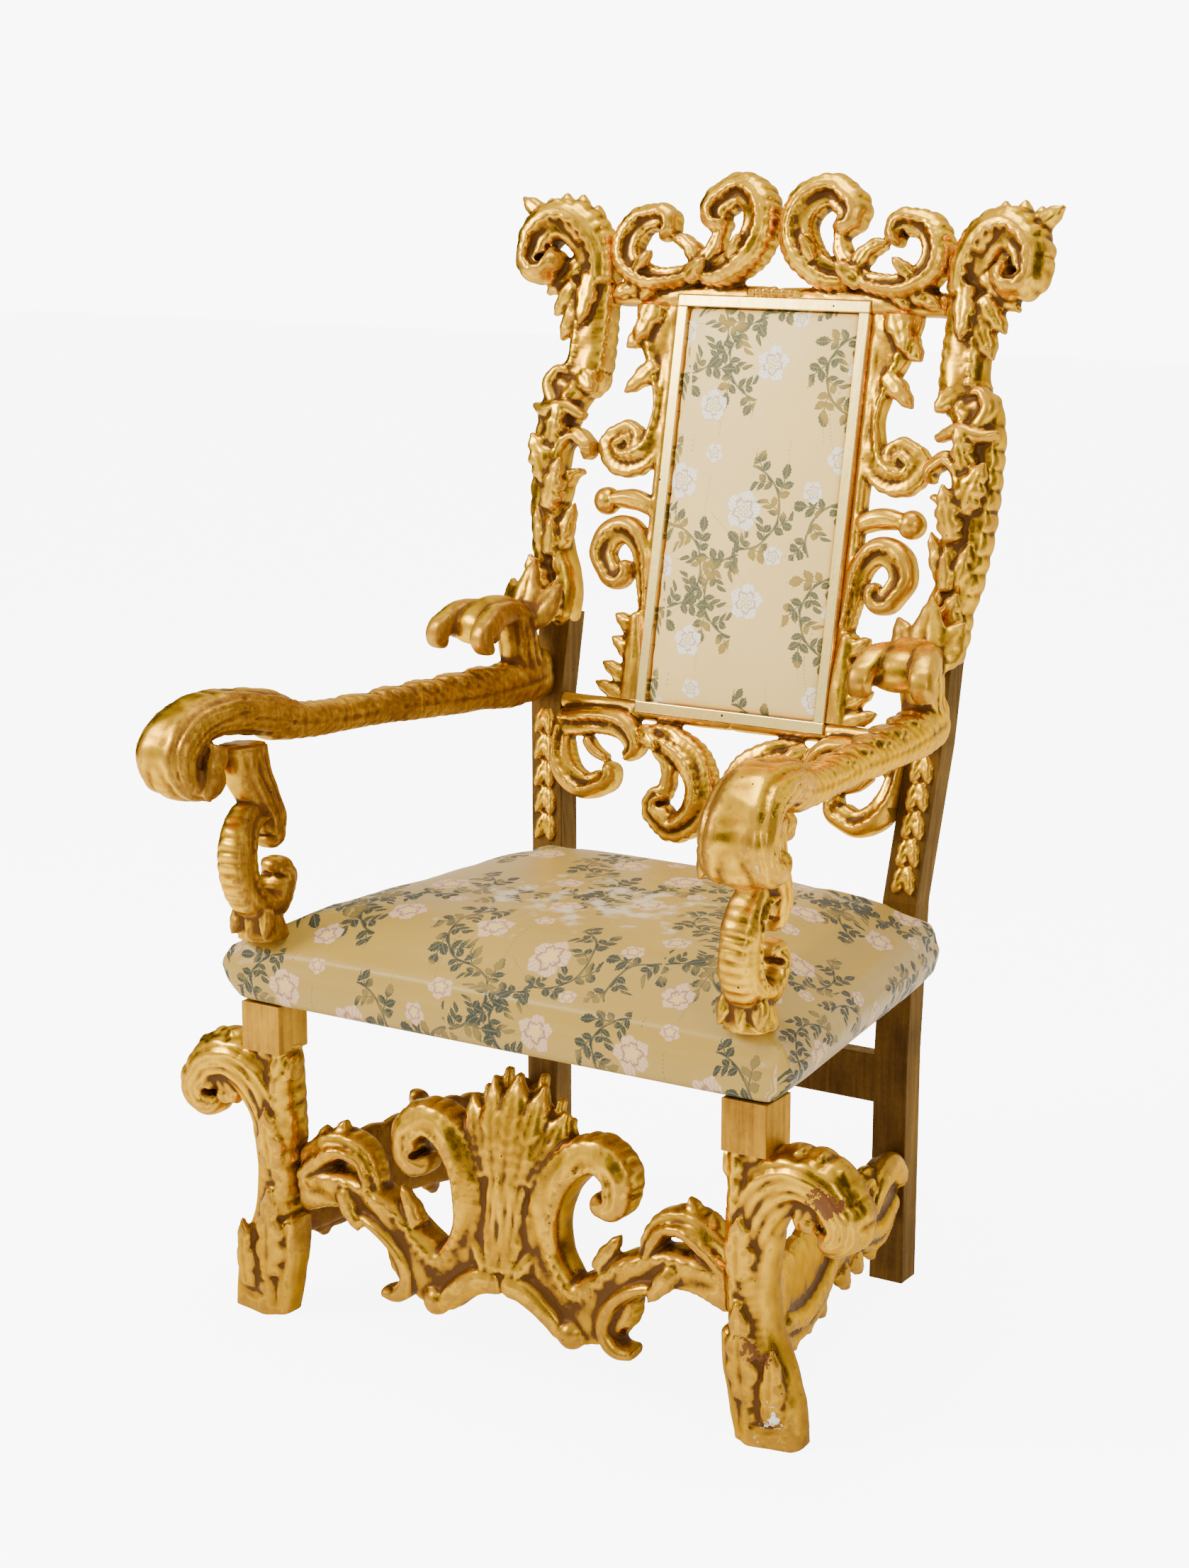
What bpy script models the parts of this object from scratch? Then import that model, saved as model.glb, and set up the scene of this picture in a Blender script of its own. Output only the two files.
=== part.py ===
"""A carved and gilt baroque armchair, built piece by piece in metres, +Z up.

The chair faces -Y and is symmetric about x = 0. The origin is on the floor, under the
middle of the chair's box. Carved members are drawn the way a carver squares up a drawing:
each has a sheet whose grid squares stretch with the timber it is cut from, and strands
(a spine, a width and a thickness) laid on that sheet.
"""
import math

import bmesh
import bpy
from mathutils import Matrix, Vector

# Driving sizes, in metres
GAP = 0.0003                  # clearance between touching pieces
FRONT_FACE = 0.2930           # front legs' face, forward of the origin

SEAT_UNDERSIDE = 0.399
SEAT_EDGE_HEIGHT = 0.091
SEAT_CROWN = 0.038
SEAT_HALF_FRONT = 0.362
SEAT_HALF_BACK = 0.302
SEAT_DEPTH = 0.545
SEAT_BULGE = 0.034            # how far the sides swell past the frame in front
SEAT_BULGE_FADE = 0.7         # share of that lost by the back
SEAT_ROUND = 0.024            # roll of its edges

LEG_BLOCK = 0.056             # square of the front legs
LEG_OUTSIDE = 0.3585          # outer face of a front leg's block
LEG_INNER = 0.297             # joint between a front leg and the stretcher
LEG_DEEP = 0.062              # front leg from front to back below its block
LEG_BLOCK_FOOT = 0.340        # where the plain block ends and the carving starts

POST_FACE = 0.503             # front face to the rear legs' front face, at the floor
POST_WIDTH = 0.046
POST_THICK = 0.038
POST_FOOT_OUTSIDE = 0.281
POST_TOP_OUTSIDE = 0.298
POST_PLUMB = 0.300            # height to which a rear leg stands upright
POST_LEAN = 0.014             # how far it steps back between there and the seat's top
ARM_BLOCK_TOP = 0.115         # top of the square block above the panel's foot

BACK_RAKE = 11.57             # degrees
PANEL_FOOT_RISE = 0.1923      # foot of the panel above the seat's edge
BACK_BASE_SET = 0.5417        # foot of the panel behind the front face
CREST_RISE = 0.170            # crest above the panel's top
RAIL_OVER_SEAT = 0.0355       # hanging scrolls above the seat's edge
CREST_HALF = 0.238            # half length of the crest rail
EAR_REACH = 0.386             # outermost edge of the ears
RAIL_BACK = 0.030             # back of the rails and mouldings behind the panel's face

PANEL_HALF_WIDTH = 0.137
PANEL_LENGTH = 0.5225         # up to the inner edge of the top moulding
MOULDING_WIDTH = 0.0145
MOULDING_PROUD = 0.004        # how far the mouldings stand forward
PAD_SWELL = 0.010
STILE_PROUD = 0.0222          # carved stile in front of the panel's face

ARM_HEIGHT = 0.735            # top of the arm between its scrolls
ARM_LENGTH = 0.660
ARM_ROOT_X = 0.284
ARM_HAND_X = 0.368
ARM_THICK = 0.044
SUPPORT_SET = 0.015           # support's middle line behind the front face
SUPPORT_X = 0.332
SUPPORT_TOP_X = 0.346
SUPPORT_BASE = 0.480
SUPPORT_FOOT_HALF = 0.031

STRETCHER_SET = 0.045         # front stretcher's middle plane behind the front face
STRETCHER_HEIGHT = 0.358      # tip of its fan
BACK_STRETCHER_LOW = 0.230
BACK_STRETCHER_DEEP = 0.062
BACK_STRETCHER_THICK = 0.024
SIDE_STRETCHER_TOP = 0.200
SIDE_STRETCHER_THICK = 0.030

VOXEL = 0.0055                # grain at which the strands of a carving are welded

RAKE = math.radians(BACK_RAKE)
SEAT_TOP = SEAT_UNDERSIDE + SEAT_EDGE_HEIGHT
BACK_BASE_HEIGHT = SEAT_TOP + PANEL_FOOT_RISE
LOWER_RAIL_DROP = (PANEL_FOOT_RISE - RAIL_OVER_SEAT) / math.cos(RAKE)
FRONT_Y = -FRONT_FACE
LEG_BACK = FRONT_Y + LEG_DEEP
POST_Y = FRONT_Y + POST_FACE
BACK_Y = FRONT_Y + BACK_BASE_SET
MOULDED_LENGTH = PANEL_LENGTH + MOULDING_WIDTH
ARM_UNDERSIDE = ARM_HEIGHT - ARM_THICK / 2


def clear_scene():
    for thing in list(bpy.data.objects):
        bpy.data.objects.remove(thing, do_unlink=True)


def collection(name):
    group = bpy.data.collections.new(name)
    bpy.context.scene.collection.children.link(group)
    return group


def finish(name, colour, roughness, metallic):
    """A plain Principled finish."""
    made = bpy.data.materials.new(name)
    made.use_nodes = True
    shader = made.node_tree.nodes["Principled BSDF"]
    shader.inputs["Base Color"].default_value = (*colour, 1.0)
    shader.inputs["Roughness"].default_value = roughness
    shader.inputs["Metallic"].default_value = metallic
    return made


class Sheet:
    """A squared drawing: u across and v up in squares, d forward of the sheet in metres."""

    def __init__(self, origin, across, up, out):
        self.origin = Vector(origin)
        self.across = Vector(across)
        self.up = Vector(up)
        self.out = Vector(out).normalized()

    def at(self, u, v, d=0.0):
        return self.origin + self.across * u + self.up * v + self.out * d

    def mirrored(self):
        def flip(vector):
            return Vector((-vector.x, vector.y, vector.z))
        return Sheet(flip(self.origin), flip(self.across), flip(self.up), flip(self.out))


def smooth_curve(points, steps):
    """Catmull-Rom through the points, so a few of them give a flowing spine."""
    ends = [points[0] * 2 - points[1]] + list(points) + [points[-1] * 2 - points[-2]]
    made = []
    for i in range(1, len(ends) - 2):
        before, here, there, after = ends[i - 1:i + 3]
        for step in range(steps):
            t = step / steps
            made.append(0.5 * (2 * here + (there - before) * t
                               + (2 * before - 5 * here + 4 * there - after) * t ** 2
                               + (3 * here - before - 3 * there + after) * t ** 3))
    made.append(points[-1].copy())
    return made


def shares(points):
    """How far along the line each point lies, 0 to 1."""
    runs = [0.0]
    for a, b in zip(points, points[1:]):
        runs.append(runs[-1] + (b - a).length)
    return [run / runs[-1] for run in runs]


def along(profile, t):
    """A value read from evenly spaced stops, eased between them."""
    place = t * (len(profile) - 1)
    stop = min(int(place), len(profile) - 2)
    ease = place - stop
    ease = ease * ease * (3 - 2 * ease)
    return profile[stop] * (1 - ease) + profile[stop + 1] * ease


def curl(points, out, radius, turns, hand, steps=14, shrink=0.3, rise=0.0):
    """Carry the line on into a volute that winds towards its eye."""
    heading = (points[-1] - points[-2]).normalized()
    side = out.cross(heading) * hand
    line = list(points)
    here = points[-1].copy()
    total = turns * math.tau
    count = max(3, round(steps * turns))
    for step in range(count):
        share = (step + 0.5) / count
        bend = radius * (1 - (1 - shrink) * share)
        turn = total / count
        here = here + heading * (bend * turn) + out * (rise / count)
        heading = (heading * math.cos(turn) + side * math.sin(turn)).normalized()
        side = out.cross(heading) * hand
        line.append(here.copy())
    return line


def strand(body, sheet, spine, wide, deep, volute=None, lift=0.0, steps=4):
    """One carved member: a round-fronted, flat-backed bar along the spine.

    wide is the half width in the drawing, deep the half thickness, both in metres at even
    stops along the strand; volute is (radius, turns, hand) with hand 1 for anticlockwise.
    """
    line = smooth_curve([sheet.at(*point) for point in spine], steps)
    if volute:
        radius, turns, hand = volute[:3]
        line = curl(line, sheet.out, radius, turns, hand, rise=lift)
    section = [(-0.95, -1.0), (0.95, -1.0), (1.0, 0.1), (0.62, 0.82), (0.0, 1.0),
               (-0.62, 0.82), (-1.0, 0.1)]
    rings = []
    for i, (point, t) in enumerate(zip(line, shares(line))):
        ahead = line[min(i + 1, len(line) - 1)] - line[max(i - 1, 0)]
        side = ahead.cross(sheet.out).normalized()
        front = side.cross(ahead).normalized()
        half, thick = along(wide, t), along(deep, t)
        rings.append([body.verts.new(point + side * (q * half) + front * (p * thick))
                      for q, p in section])
    for ring, following in zip(rings, rings[1:]):
        for k in range(len(section)):
            nxt = (k + 1) % len(section)
            body.faces.new((ring[k], ring[nxt], following[nxt], following[k]))
    body.faces.new(list(reversed(rings[0])))
    body.faces.new(rings[-1])


def leaf(body, root, tip, out, half, thick, bend=0.0):
    """A pointed leaf from root to tip, humped in the middle and lifted by bend."""
    root, tip, out = Vector(root), Vector(tip), Vector(out).normalized()
    length = (tip - root).length
    sheet = Sheet(root, (tip - root) / 4, out.cross(tip - root) / length, out)
    spine = [(0, 0, 0), (1, 0, bend * 0.5), (2, 0, bend * 0.9), (3, 0, bend), (4, 0, bend * 0.8)]
    strand(body, sheet, spine, (half * 0.7, half, half * 0.8, half * 0.18),
           (thick, thick, thick * 0.8, thick * 0.4), steps=2)


def ball(body, centre, radius):
    bmesh.ops.create_uvsphere(body, u_segments=10, v_segments=7, radius=radius,
                              matrix=Matrix.Translation(centre))


def prism(stations):
    """A closed bar through rectangles given as (centre, half across, half deep)."""
    body = bmesh.new()
    rings = []
    for centre, half_across, half_deep in stations:
        rings.append([body.verts.new(Vector(centre) + Vector((x * half_across, y * half_deep, 0)))
                      for x, y in ((-1, -1), (1, -1), (1, 1), (-1, 1))])
    for ring, following in zip(rings, rings[1:]):
        for k in range(4):
            nxt = (k + 1) % 4
            body.faces.new((ring[k], ring[nxt], following[nxt], following[k]))
    body.faces.new(list(reversed(rings[0])))
    body.faces.new(rings[-1])
    bmesh.ops.recalc_face_normals(body, faces=body.faces)
    return body


def place(body, name, group, material):
    mesh = bpy.data.meshes.new(name)
    bmesh.ops.recalc_face_normals(body, faces=body.faces)
    body.to_mesh(mesh)
    body.free()
    piece = bpy.data.objects.new(name, mesh)
    piece.data.materials.append(material)
    group.objects.link(piece)
    return piece


def applied(piece):
    """The piece's mesh with its modifiers made real, in place."""
    graph = bpy.context.evaluated_depsgraph_get()
    mesh = bpy.data.meshes.new_from_object(piece.evaluated_get(graph))
    piece.modifiers.clear()
    piece.data = mesh
    return piece


def carved(body, name, group, material, triangles, voxel=VOXEL):
    """Weld the strands into one body and bring it down to a number of triangles."""
    piece = place(body, name, group, material)
    weld = piece.modifiers.new("weld", "REMESH")
    weld.mode = "VOXEL"
    weld.voxel_size = voxel
    applied(piece)
    piece.data.calc_loop_triangles()
    thin = piece.modifiers.new("thin", "DECIMATE")
    thin.ratio = min(1.0, triangles / len(piece.data.loop_triangles))
    return clean(applied(piece))


def join(piece, body, operation="UNION"):
    """Union or difference of a piece and a plain body, made real at once."""
    other = bpy.data.objects.new("tool", bpy.data.meshes.new("tool"))
    bmesh.ops.recalc_face_normals(body, faces=body.faces)
    body.to_mesh(other.data)
    body.free()
    piece.users_collection[0].objects.link(other)
    cut = piece.modifiers.new("cut", "BOOLEAN")
    cut.operation = operation
    cut.object = other
    applied(piece)
    bpy.data.objects.remove(other, do_unlink=True)
    return piece


def saw(piece, point, normal):
    """Cut the piece flat and keep what lies behind the plane's normal."""
    body = bmesh.new()
    body.from_mesh(piece.data)
    every = body.verts[:] + body.edges[:] + body.faces[:]
    bmesh.ops.bisect_plane(body, geom=every, plane_co=point, plane_no=normal,
                           clear_outer=True, dist=1e-6)
    rim = [edge for edge in body.edges if edge.is_boundary]
    if rim:
        bmesh.ops.triangle_fill(body, edges=rim, use_beauty=True, normal=normal)
    bmesh.ops.recalc_face_normals(body, faces=body.faces)
    body.to_mesh(piece.data)
    body.free()
    return piece


def open_pinches(body):
    """Part the surface where two folds of it meet in a single edge, and close its holes."""
    for _ in range(4):
        faulty = [edge for edge in body.edges if len(edge.link_faces) != 2]
        if not faulty:
            return
        pinched = [edge for edge in faulty if len(edge.link_faces) > 2]
        corners = list({vert for edge in pinched for vert in edge.verts})
        bmesh.ops.delete(body, geom=corners, context="VERTS")
        rim = [edge for edge in body.edges if edge.is_boundary]
        bmesh.ops.holes_fill(body, edges=rim, sides=0)
        bmesh.ops.triangulate(body, faces=[face for face in body.faces if len(face.verts) > 4])


def clean(piece):
    """Weld the corners, open pinches and drop crumbs that a cut has left loose."""
    body = bmesh.new()
    body.from_mesh(piece.data)
    bmesh.ops.remove_doubles(body, verts=body.verts, dist=1e-6)
    open_pinches(body)
    left, groups = set(body.verts), []
    while left:
        stack, group = [left.pop()], []
        while stack:
            vert = stack.pop()
            group.append(vert)
            for edge in vert.link_edges:
                other = edge.other_vert(vert)
                if other in left:
                    left.discard(other)
                    stack.append(other)
        groups.append(group)
    groups.sort(key=len)
    for group in groups[:-1]:
        bmesh.ops.delete(body, geom=group, context="VERTS")
    bmesh.ops.recalc_face_normals(body, faces=body.faces)
    body.to_mesh(piece.data)
    body.free()
    return piece


def other_side(piece, name, group, material):
    """The same piece mirrored to the other side of the chair."""
    body = bmesh.new()
    body.from_mesh(piece.data)
    bmesh.ops.scale(body, vec=(-1, 1, 1), verts=body.verts)
    bmesh.ops.reverse_faces(body, faces=body.faces)
    mesh = bpy.data.meshes.new(name)
    body.to_mesh(mesh)
    body.free()
    twin = bpy.data.objects.new(name, mesh)
    twin.data.materials.append(material)
    group.objects.link(twin)
    return twin


def tilted(s, d=0.0, x=0.0):
    """A point of the back: s up its slope from the panel's foot, d forward of its face."""
    return Vector((x, BACK_Y + s * math.sin(RAKE) - d * math.cos(RAKE),
                   BACK_BASE_HEIGHT + s * math.cos(RAKE) + d * math.sin(RAKE)))


BACK_UP = Vector((0, math.sin(RAKE), math.cos(RAKE)))
BACK_OUT = Vector((0, -math.cos(RAKE), math.sin(RAKE)))


def crest_rail(group, gilt):
    """The top rail: two tall C-scrolls that meet in the middle and two lower outer ones."""
    body = bmesh.new()
    right = Sheet(tilted(PANEL_LENGTH), (CREST_HALF / 238, 0, 0), BACK_UP * (CREST_RISE / 170),
                  BACK_OUT)
    for sheet, hand in ((right, 1), (right.mirrored(), -1)):
        strand(body, sheet, [(-4, 13, -.014), (120, 14, -.014), (242, 13, -.014)],
               (.017, .017, .017), (.016, .016, .016))
        strand(body, sheet, [(106, 40, 0), (70, 46, .003), (36, 74, .006), (26, 108, .004),
                             (38, 138, 0), (66, 150, -.006), (90, 136, -.004)],
               (.012, .020, .023, .022, .021, .020, .015), (.018, .024, .026, .026, .024, .022),
               (.018, .6, -hand))
        strand(body, sheet, [(84, 122, 0), (86, 98, 0), (92, 72, .002), (112, 48, .002)],
               (.008, .010, .012, .014), (.012, .014, .016))
        strand(body, sheet, [(112, 46, 0), (145, 35, .003), (184, 34, .004), (214, 52, .004),
                             (220, 80, .002), (206, 106, -.002), (180, 113, 0)],
               (.010, .013, .016, .018, .018, .016, .012), (.018, .022, .024, .024, .022, .020),
               (.016, .6, hand))
        strand(body, sheet, [(112, 48, .002), (122, 70, .002), (137, 82, .002), (152, 84, 0)],
               (.011, .012, .010, .006), (.014, .016, .014))
        leaf(body, sheet.at(185, 34, .002), sheet.at(234, 8, .006), BACK_OUT, .013, .014)
        leaf(body, sheet.at(170, 30, .002), sheet.at(192, 4, .006), BACK_OUT, .010, .014)
    piece = carved(body, "crest_rail", group, gilt, 880)
    join(piece, panel_space(), "DIFFERENCE")
    saw(piece, tilted(PANEL_LENGTH + GAP), -BACK_UP)
    for side in (1, -1):
        saw(piece, (side * (CREST_HALF - GAP), 0, 0), (side, 0, 0))
    return clean(piece)


def lower_rail(group, gilt):
    """The rail under the panel, with two C-scrolls and two outer loops hanging from it."""
    body = bmesh.new()
    right = Sheet(tilted(0), (post_inside(BACK_BASE_HEIGHT) / 250, 0, 0),
                  BACK_UP * (LOWER_RAIL_DROP / 160), BACK_OUT)
    for sheet, hand in ((right, 1), (right.mirrored(), -1)):
        strand(body, sheet, [(-4, 4, -.014), (120, 4, -.014), (256, 4, -.014)],
               (.014, .014, .014), (.015, .015, .015))
        strand(body, sheet, [(112, -24, -.002), (76, -32, 0), (42, -52, .003), (24, -86, .003),
                             (32, -122, 0), (60, -142, -.002), (84, -128, 0)],
               (.012, .019, .021, .019, .018, .017, .013), (.017, .022, .024, .024, .022, .020),
               (.016, .6, hand))
        strand(body, sheet, [(84, -112, 0), (76, -88, 0), (78, -62, 0), (100, -36, 0)],
               (.007, .010, .010, .012), (.012, .014, .015))
        strand(body, sheet, [(250, -22, -.004), (222, -22, 0), (184, -16, .002),
                             (148, -20, .002), (128, -42, .002), (140, -62, 0)],
               (.016, .018, .017, .018, .015, .008), (.018, .020, .020, .018))
        strand(body, sheet, [(244, -26, -.004), (240, -62, 0), (222, -92, .002),
                             (196, -104, 0), (172, -96, 0)],
               (.014, .017, .017, .016, .013), (.018, .022, .022, .020), (.014, .5, -hand))
        strand(body, sheet, [(168, -66, 0), (190, -56, -.002), (206, -40, -.004)],
               (.006, .008, .008), (.010, .012))
    piece = carved(body, "lower_back_rail", group, gilt, 690)
    join(piece, panel_space(), "DIFFERENCE")
    saw(piece, tilted(MOULDING_WIDTH - GAP), BACK_UP)
    for side in (1, -1):
        saw(piece, *post_inner_plane(side))
        saw(piece, (side * (post_inside(BACK_BASE_HEIGHT) - GAP), 0, 0), (side, 0, 0))
    return clean(piece)


def splat(group, gilt):
    """The pierced strip between the panel and the right post."""
    body = bmesh.new()
    sheet = Sheet(tilted(0, 0, PANEL_HALF_WIDTH), ((CREST_HALF - PANEL_HALF_WIDTH) / 101, 0, 0),
                  BACK_UP * (MOULDED_LENGTH / 537), BACK_OUT)
    thick = (.015, .016, .016)
    strand(body, sheet, [(6, 0, -.016), (7, 140, -.016), (8, 270, -.016), (8, 400, -.016),
                         (8, 540, -.016)], (.010, .009, .008, .010, .011), (.013, .013, .013))
    strand(body, sheet, [(34, 540, -.014), (32, 500, -.012), (26, 460, -.014), (18, 420, -.014),
                         (16, 380, -.014), (24, 342, -.012), (46, 322, -.010), (72, 322, -.010),
                         (84, 342, -.010), (68, 356, -.010)],
           (.034, .034, .026, .016, .011, .015, .019, .018, .014, .011), thick, (.014, .8, 1))
    leaf(body, sheet.at(40, 500, -.010), sheet.at(72, 468, -.004), BACK_OUT, .015, .012)
    leaf(body, sheet.at(26, 450, -.010), sheet.at(68, 410, -.004), BACK_OUT, .013, .012)
    strand(body, sheet, [(10, 262, -.014), (40, 272, -.012), (76, 271, -.012)],
           (.012, .014, .010), thick)
    ball(body, sheet.at(83, 268, -.014), .0185)
    strand(body, sheet, [(8, 130, -.014), (14, 170, -.014), (20, 206, -.012), (42, 232, -.010),
                         (70, 226, -.010), (80, 200, -.010), (66, 176, -.010)],
           (.008, .011, .014, .018, .018, .016, .013), thick, (.014, .7, -1))
    strand(body, sheet, [(12, 6, -.012), (14, 60, -.012), (16, 130, -.012)],
           (.020, .018, .010), thick)
    for u, v in ((46, 124), (48, 94), (58, 60), (66, 34)):
        leaf(body, sheet.at(14, v - 22, -.012), sheet.at(u, v, -.004), BACK_OUT, .012, .012)
    piece = carved(body, "back_splat_right", group, gilt, 460)
    saw(piece, tilted(PANEL_LENGTH - GAP), BACK_UP)
    saw(piece, tilted(MOULDING_WIDTH + GAP), -BACK_UP)
    saw(piece, (PANEL_HALF_WIDTH + GAP, 0, 0), (-1, 0, 0))
    saw(piece, (CREST_HALF - GAP, 0, 0), (1, 0, 0))
    return clean(piece)


def post(group, gilt):
    """Rear leg and carved stile in one length, with the big ear volute on top."""
    body = bmesh.new()
    sheet = Sheet(tilted(0, 0, CREST_HALF), ((EAR_REACH - CREST_HALF) / 152, 0, 0),
                  BACK_UP * (MOULDED_LENGTH / 537), BACK_OUT)
    strand(body, sheet, [(30, 560, -.010), (30, 500, -.010), (32, 440, -.010),
                         (48, 410, -.008)], (.028, .028, .029, .034),
           (.026, .026, .028, .028))
    strand(body, sheet, [(44, 430, -.006), (60, 394, -.004), (69, 350, -.004), (71, 300, -.004),
                         (68, 254, -.006), (58, 206, -.008), (44, 160, -.010), (38, 108, -.012)],
           (.034, .028, .024, .022, .023, .026, .030, .026),
           (.028, .028, .026, .026, .027, .027, .026, .024))
    strand(body, sheet, [(64, 260, 0), (58, 300, .004), (50, 334, .006), (30, 350, .006),
                         (12, 340, .006)], (.012, .014, .012, .010, .008),
           (.020, .022, .020, .018), (.011, .5, 1))
    strand(body, sheet, [(50, 222, .002), (46, 262, .004), (32, 294, .006), (12, 304, .006)],
           (.012, .014, .010, .005), (.018, .018, .012))
    leaf(body, sheet.at(40, 200, .002), sheet.at(18, 262, .008), BACK_OUT, .011, .012)
    leaf(body, sheet.at(30, 430, .004), sheet.at(6, 404, .014), BACK_OUT, .016, .012)
    strand(body, sheet, [(14, 372, .008), (44, 384, .014), (74, 378, .012), (96, 384, .006)],
           (.006, .009, .009, .006), (.012, .014, .012))
    strand(body, sheet, [(62, 380, .010), (78, 412, .010), (70, 428, .010)],
           (.012, .010, .006), (.014, .012, .010), (.010, .5, 1))
    strand(body, sheet, [(26, 540, -.008), (30, 584, -.002), (54, 618, .008), (86, 626, .014),
                         (112, 606, .018), (117, 582, .018)],
           (.026, .028, .027, .024, .020, .017), (.026, .028, .030, .032, .032, .028),
           (.019, .7, -1), lift=.010)
    for u, v in ((20, 616), (42, 640), (66, 650), (94, 646), (116, 640)):
        leaf(body, sheet.at(u * .9 + 8, v - 34, .0), sheet.at(u, v, .014), BACK_OUT, .014, .012)
    leaf(body, sheet.at(98, 622, .004), sheet.at(142, 650, .012), BACK_OUT, .013, .014)
    leaf(body, sheet.at(50, 574, .0), sheet.at(100, 530, .004), BACK_OUT, .018, .016)
    leaf(body, sheet.at(40, 540, .0), sheet.at(70, 470, .002), BACK_OUT, .018, .016)
    leaf(body, sheet.at(52, 548, .004), sheet.at(84, 502, .004), BACK_OUT, .014, .016)
    for step in range(5):
        z = BACK_BASE_HEIGHT - .01 - step * (BACK_BASE_HEIGHT - SEAT_TOP - .02) / 5
        middle = (post_inside(z) + post_outside(z)) / 2
        for lean in (-1, 1):
            tip_z = z - .032
            leaf(body, (middle, post_front(z) + .006, z),
                 (middle + lean * .012, post_front(tip_z) - .005, tip_z), (0, -1, 0),
                 .011, .008)
    piece = carved(body, "back_post_right", group, gilt, 680)
    saw(piece, (CREST_HALF + GAP, 0, 0), (-1, 0, 0))
    join(piece, plain_post())
    saw(piece, (0, 0, 0), (0, 0, -1))
    return clean(piece)


def plain_post():
    """The squared timber: floor, seat, panel foot and the block that takes the arm."""
    deep = POST_THICK / 2
    block_top = tilted(ARM_BLOCK_TOP).z
    stations = []
    for z in (0.0, POST_PLUMB, SEAT_TOP, BACK_BASE_HEIGHT, block_top):
        inside, outside = post_inside(z), post_outside(z)
        stations.append((((inside + outside) / 2, post_front(z) + deep, z),
                         (outside - inside) / 2, deep))
    return prism(stations)


def post_front(z):
    """Front face of the rear post: plumb, a step back to the seat, then the rake."""
    if z <= POST_PLUMB:
        return POST_Y
    if z <= SEAT_TOP:
        return POST_Y + POST_LEAN * (z - POST_PLUMB) / (SEAT_TOP - POST_PLUMB)
    if z <= BACK_BASE_HEIGHT:
        share = (z - SEAT_TOP) / (BACK_BASE_HEIGHT - SEAT_TOP)
        return POST_Y + POST_LEAN + (BACK_Y - POST_Y - POST_LEAN) * share
    return BACK_Y + (z - BACK_BASE_HEIGHT) * math.tan(RAKE)


def post_outside(z):
    """Outer face of the rear post: upright to the seat, then leaning out to the arm."""
    share = min(1.0, max(0.0, (z - SEAT_TOP) / (BACK_BASE_HEIGHT - SEAT_TOP)))
    return POST_FOOT_OUTSIDE + (POST_TOP_OUTSIDE - POST_FOOT_OUTSIDE) * share


def post_inside(z):
    return post_outside(z) - POST_WIDTH


def post_inner_plane(side):
    """The sloping joint plane between a post and what is let into it."""
    low, high = post_inside(SEAT_TOP), post_inside(BACK_BASE_HEIGHT)
    slope = Vector((high - low, 0, BACK_BASE_HEIGHT - SEAT_TOP))
    normal = Vector((slope.z * side, 0, -slope.x)).normalized()
    return Vector((side * (low - GAP), 0, SEAT_TOP)), normal


def panel_space():
    """Room for the moulded panel with its clearance, cut out of both rails."""
    return block(tilted(MOULDED_LENGTH / 2), 2 * (PANEL_HALF_WIDTH + GAP),
                 MOULDED_LENGTH + 2 * GAP, -RAIL_BACK * 2, RAIL_BACK * 2 + .05)


def block(centre, width, height, rear, deep):
    """A box on the back's slope, centred in x and s, from d = rear towards the viewer."""
    body = bmesh.new()
    bmesh.ops.create_cube(body, size=1.0)
    turn = Matrix((Vector((1, 0, 0)), BACK_OUT * -1, BACK_UP)).transposed()
    for vert in body.verts:
        x, y, z = vert.co
        vert.co = (Vector(centre) + turn @ Vector((x * width, 0, z * height))
                   + BACK_OUT * (rear + (0.5 - y) * deep))
    bmesh.ops.recalc_face_normals(body, faces=body.faces)
    return body


def mouldings(group, strip_gilt):
    """Four flat strips round the panel, the uprights standing on the bottom one."""
    middle = MOULDING_WIDTH / 2
    thick = RAIL_BACK + MOULDING_PROUD
    for name, s in (("top", PANEL_LENGTH + middle), ("bottom", middle)):
        body = block(tilted(s), 2 * PANEL_HALF_WIDTH, MOULDING_WIDTH, -RAIL_BACK, thick)
        place(body, "panel_moulding_" + name, group, strip_gilt)
    upright = PANEL_LENGTH - MOULDING_WIDTH - 2 * GAP
    centre = (PANEL_LENGTH + MOULDING_WIDTH) / 2
    for name, side in (("left", -1), ("right", 1)):
        x = side * (PANEL_HALF_WIDTH - middle)
        body = block(tilted(centre, 0, x), MOULDING_WIDTH, upright, -RAIL_BACK, thick)
        place(body, "panel_moulding_" + name, group, strip_gilt)


def back_pad(group, fabric):
    """The upholstered panel: a board thick behind, softly crowned in front."""
    half = PANEL_HALF_WIDTH - MOULDING_WIDTH - GAP
    low, high = MOULDING_WIDTH + GAP, PANEL_LENGTH - GAP
    body = bmesh.new()
    bmesh.ops.create_grid(body, x_segments=6, y_segments=10, size=1.0)
    for vert in body.verts:
        u, v = vert.co.x, vert.co.y
        crown = PAD_SWELL * (1 - u ** 4) * (1 - v ** 8)
        vert.co = tilted((low + high) / 2 + v * (high - low) / 2, crown, u * half)
    solid = bmesh.ops.extrude_face_region(body, geom=body.faces[:])
    for vert in solid["geom"]:
        if isinstance(vert, bmesh.types.BMVert):
            depth = (vert.co - tilted(0)).dot(BACK_OUT)
            vert.co -= BACK_OUT * (depth + RAIL_BACK)
    place(body, "back_pad", group, fabric)


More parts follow.
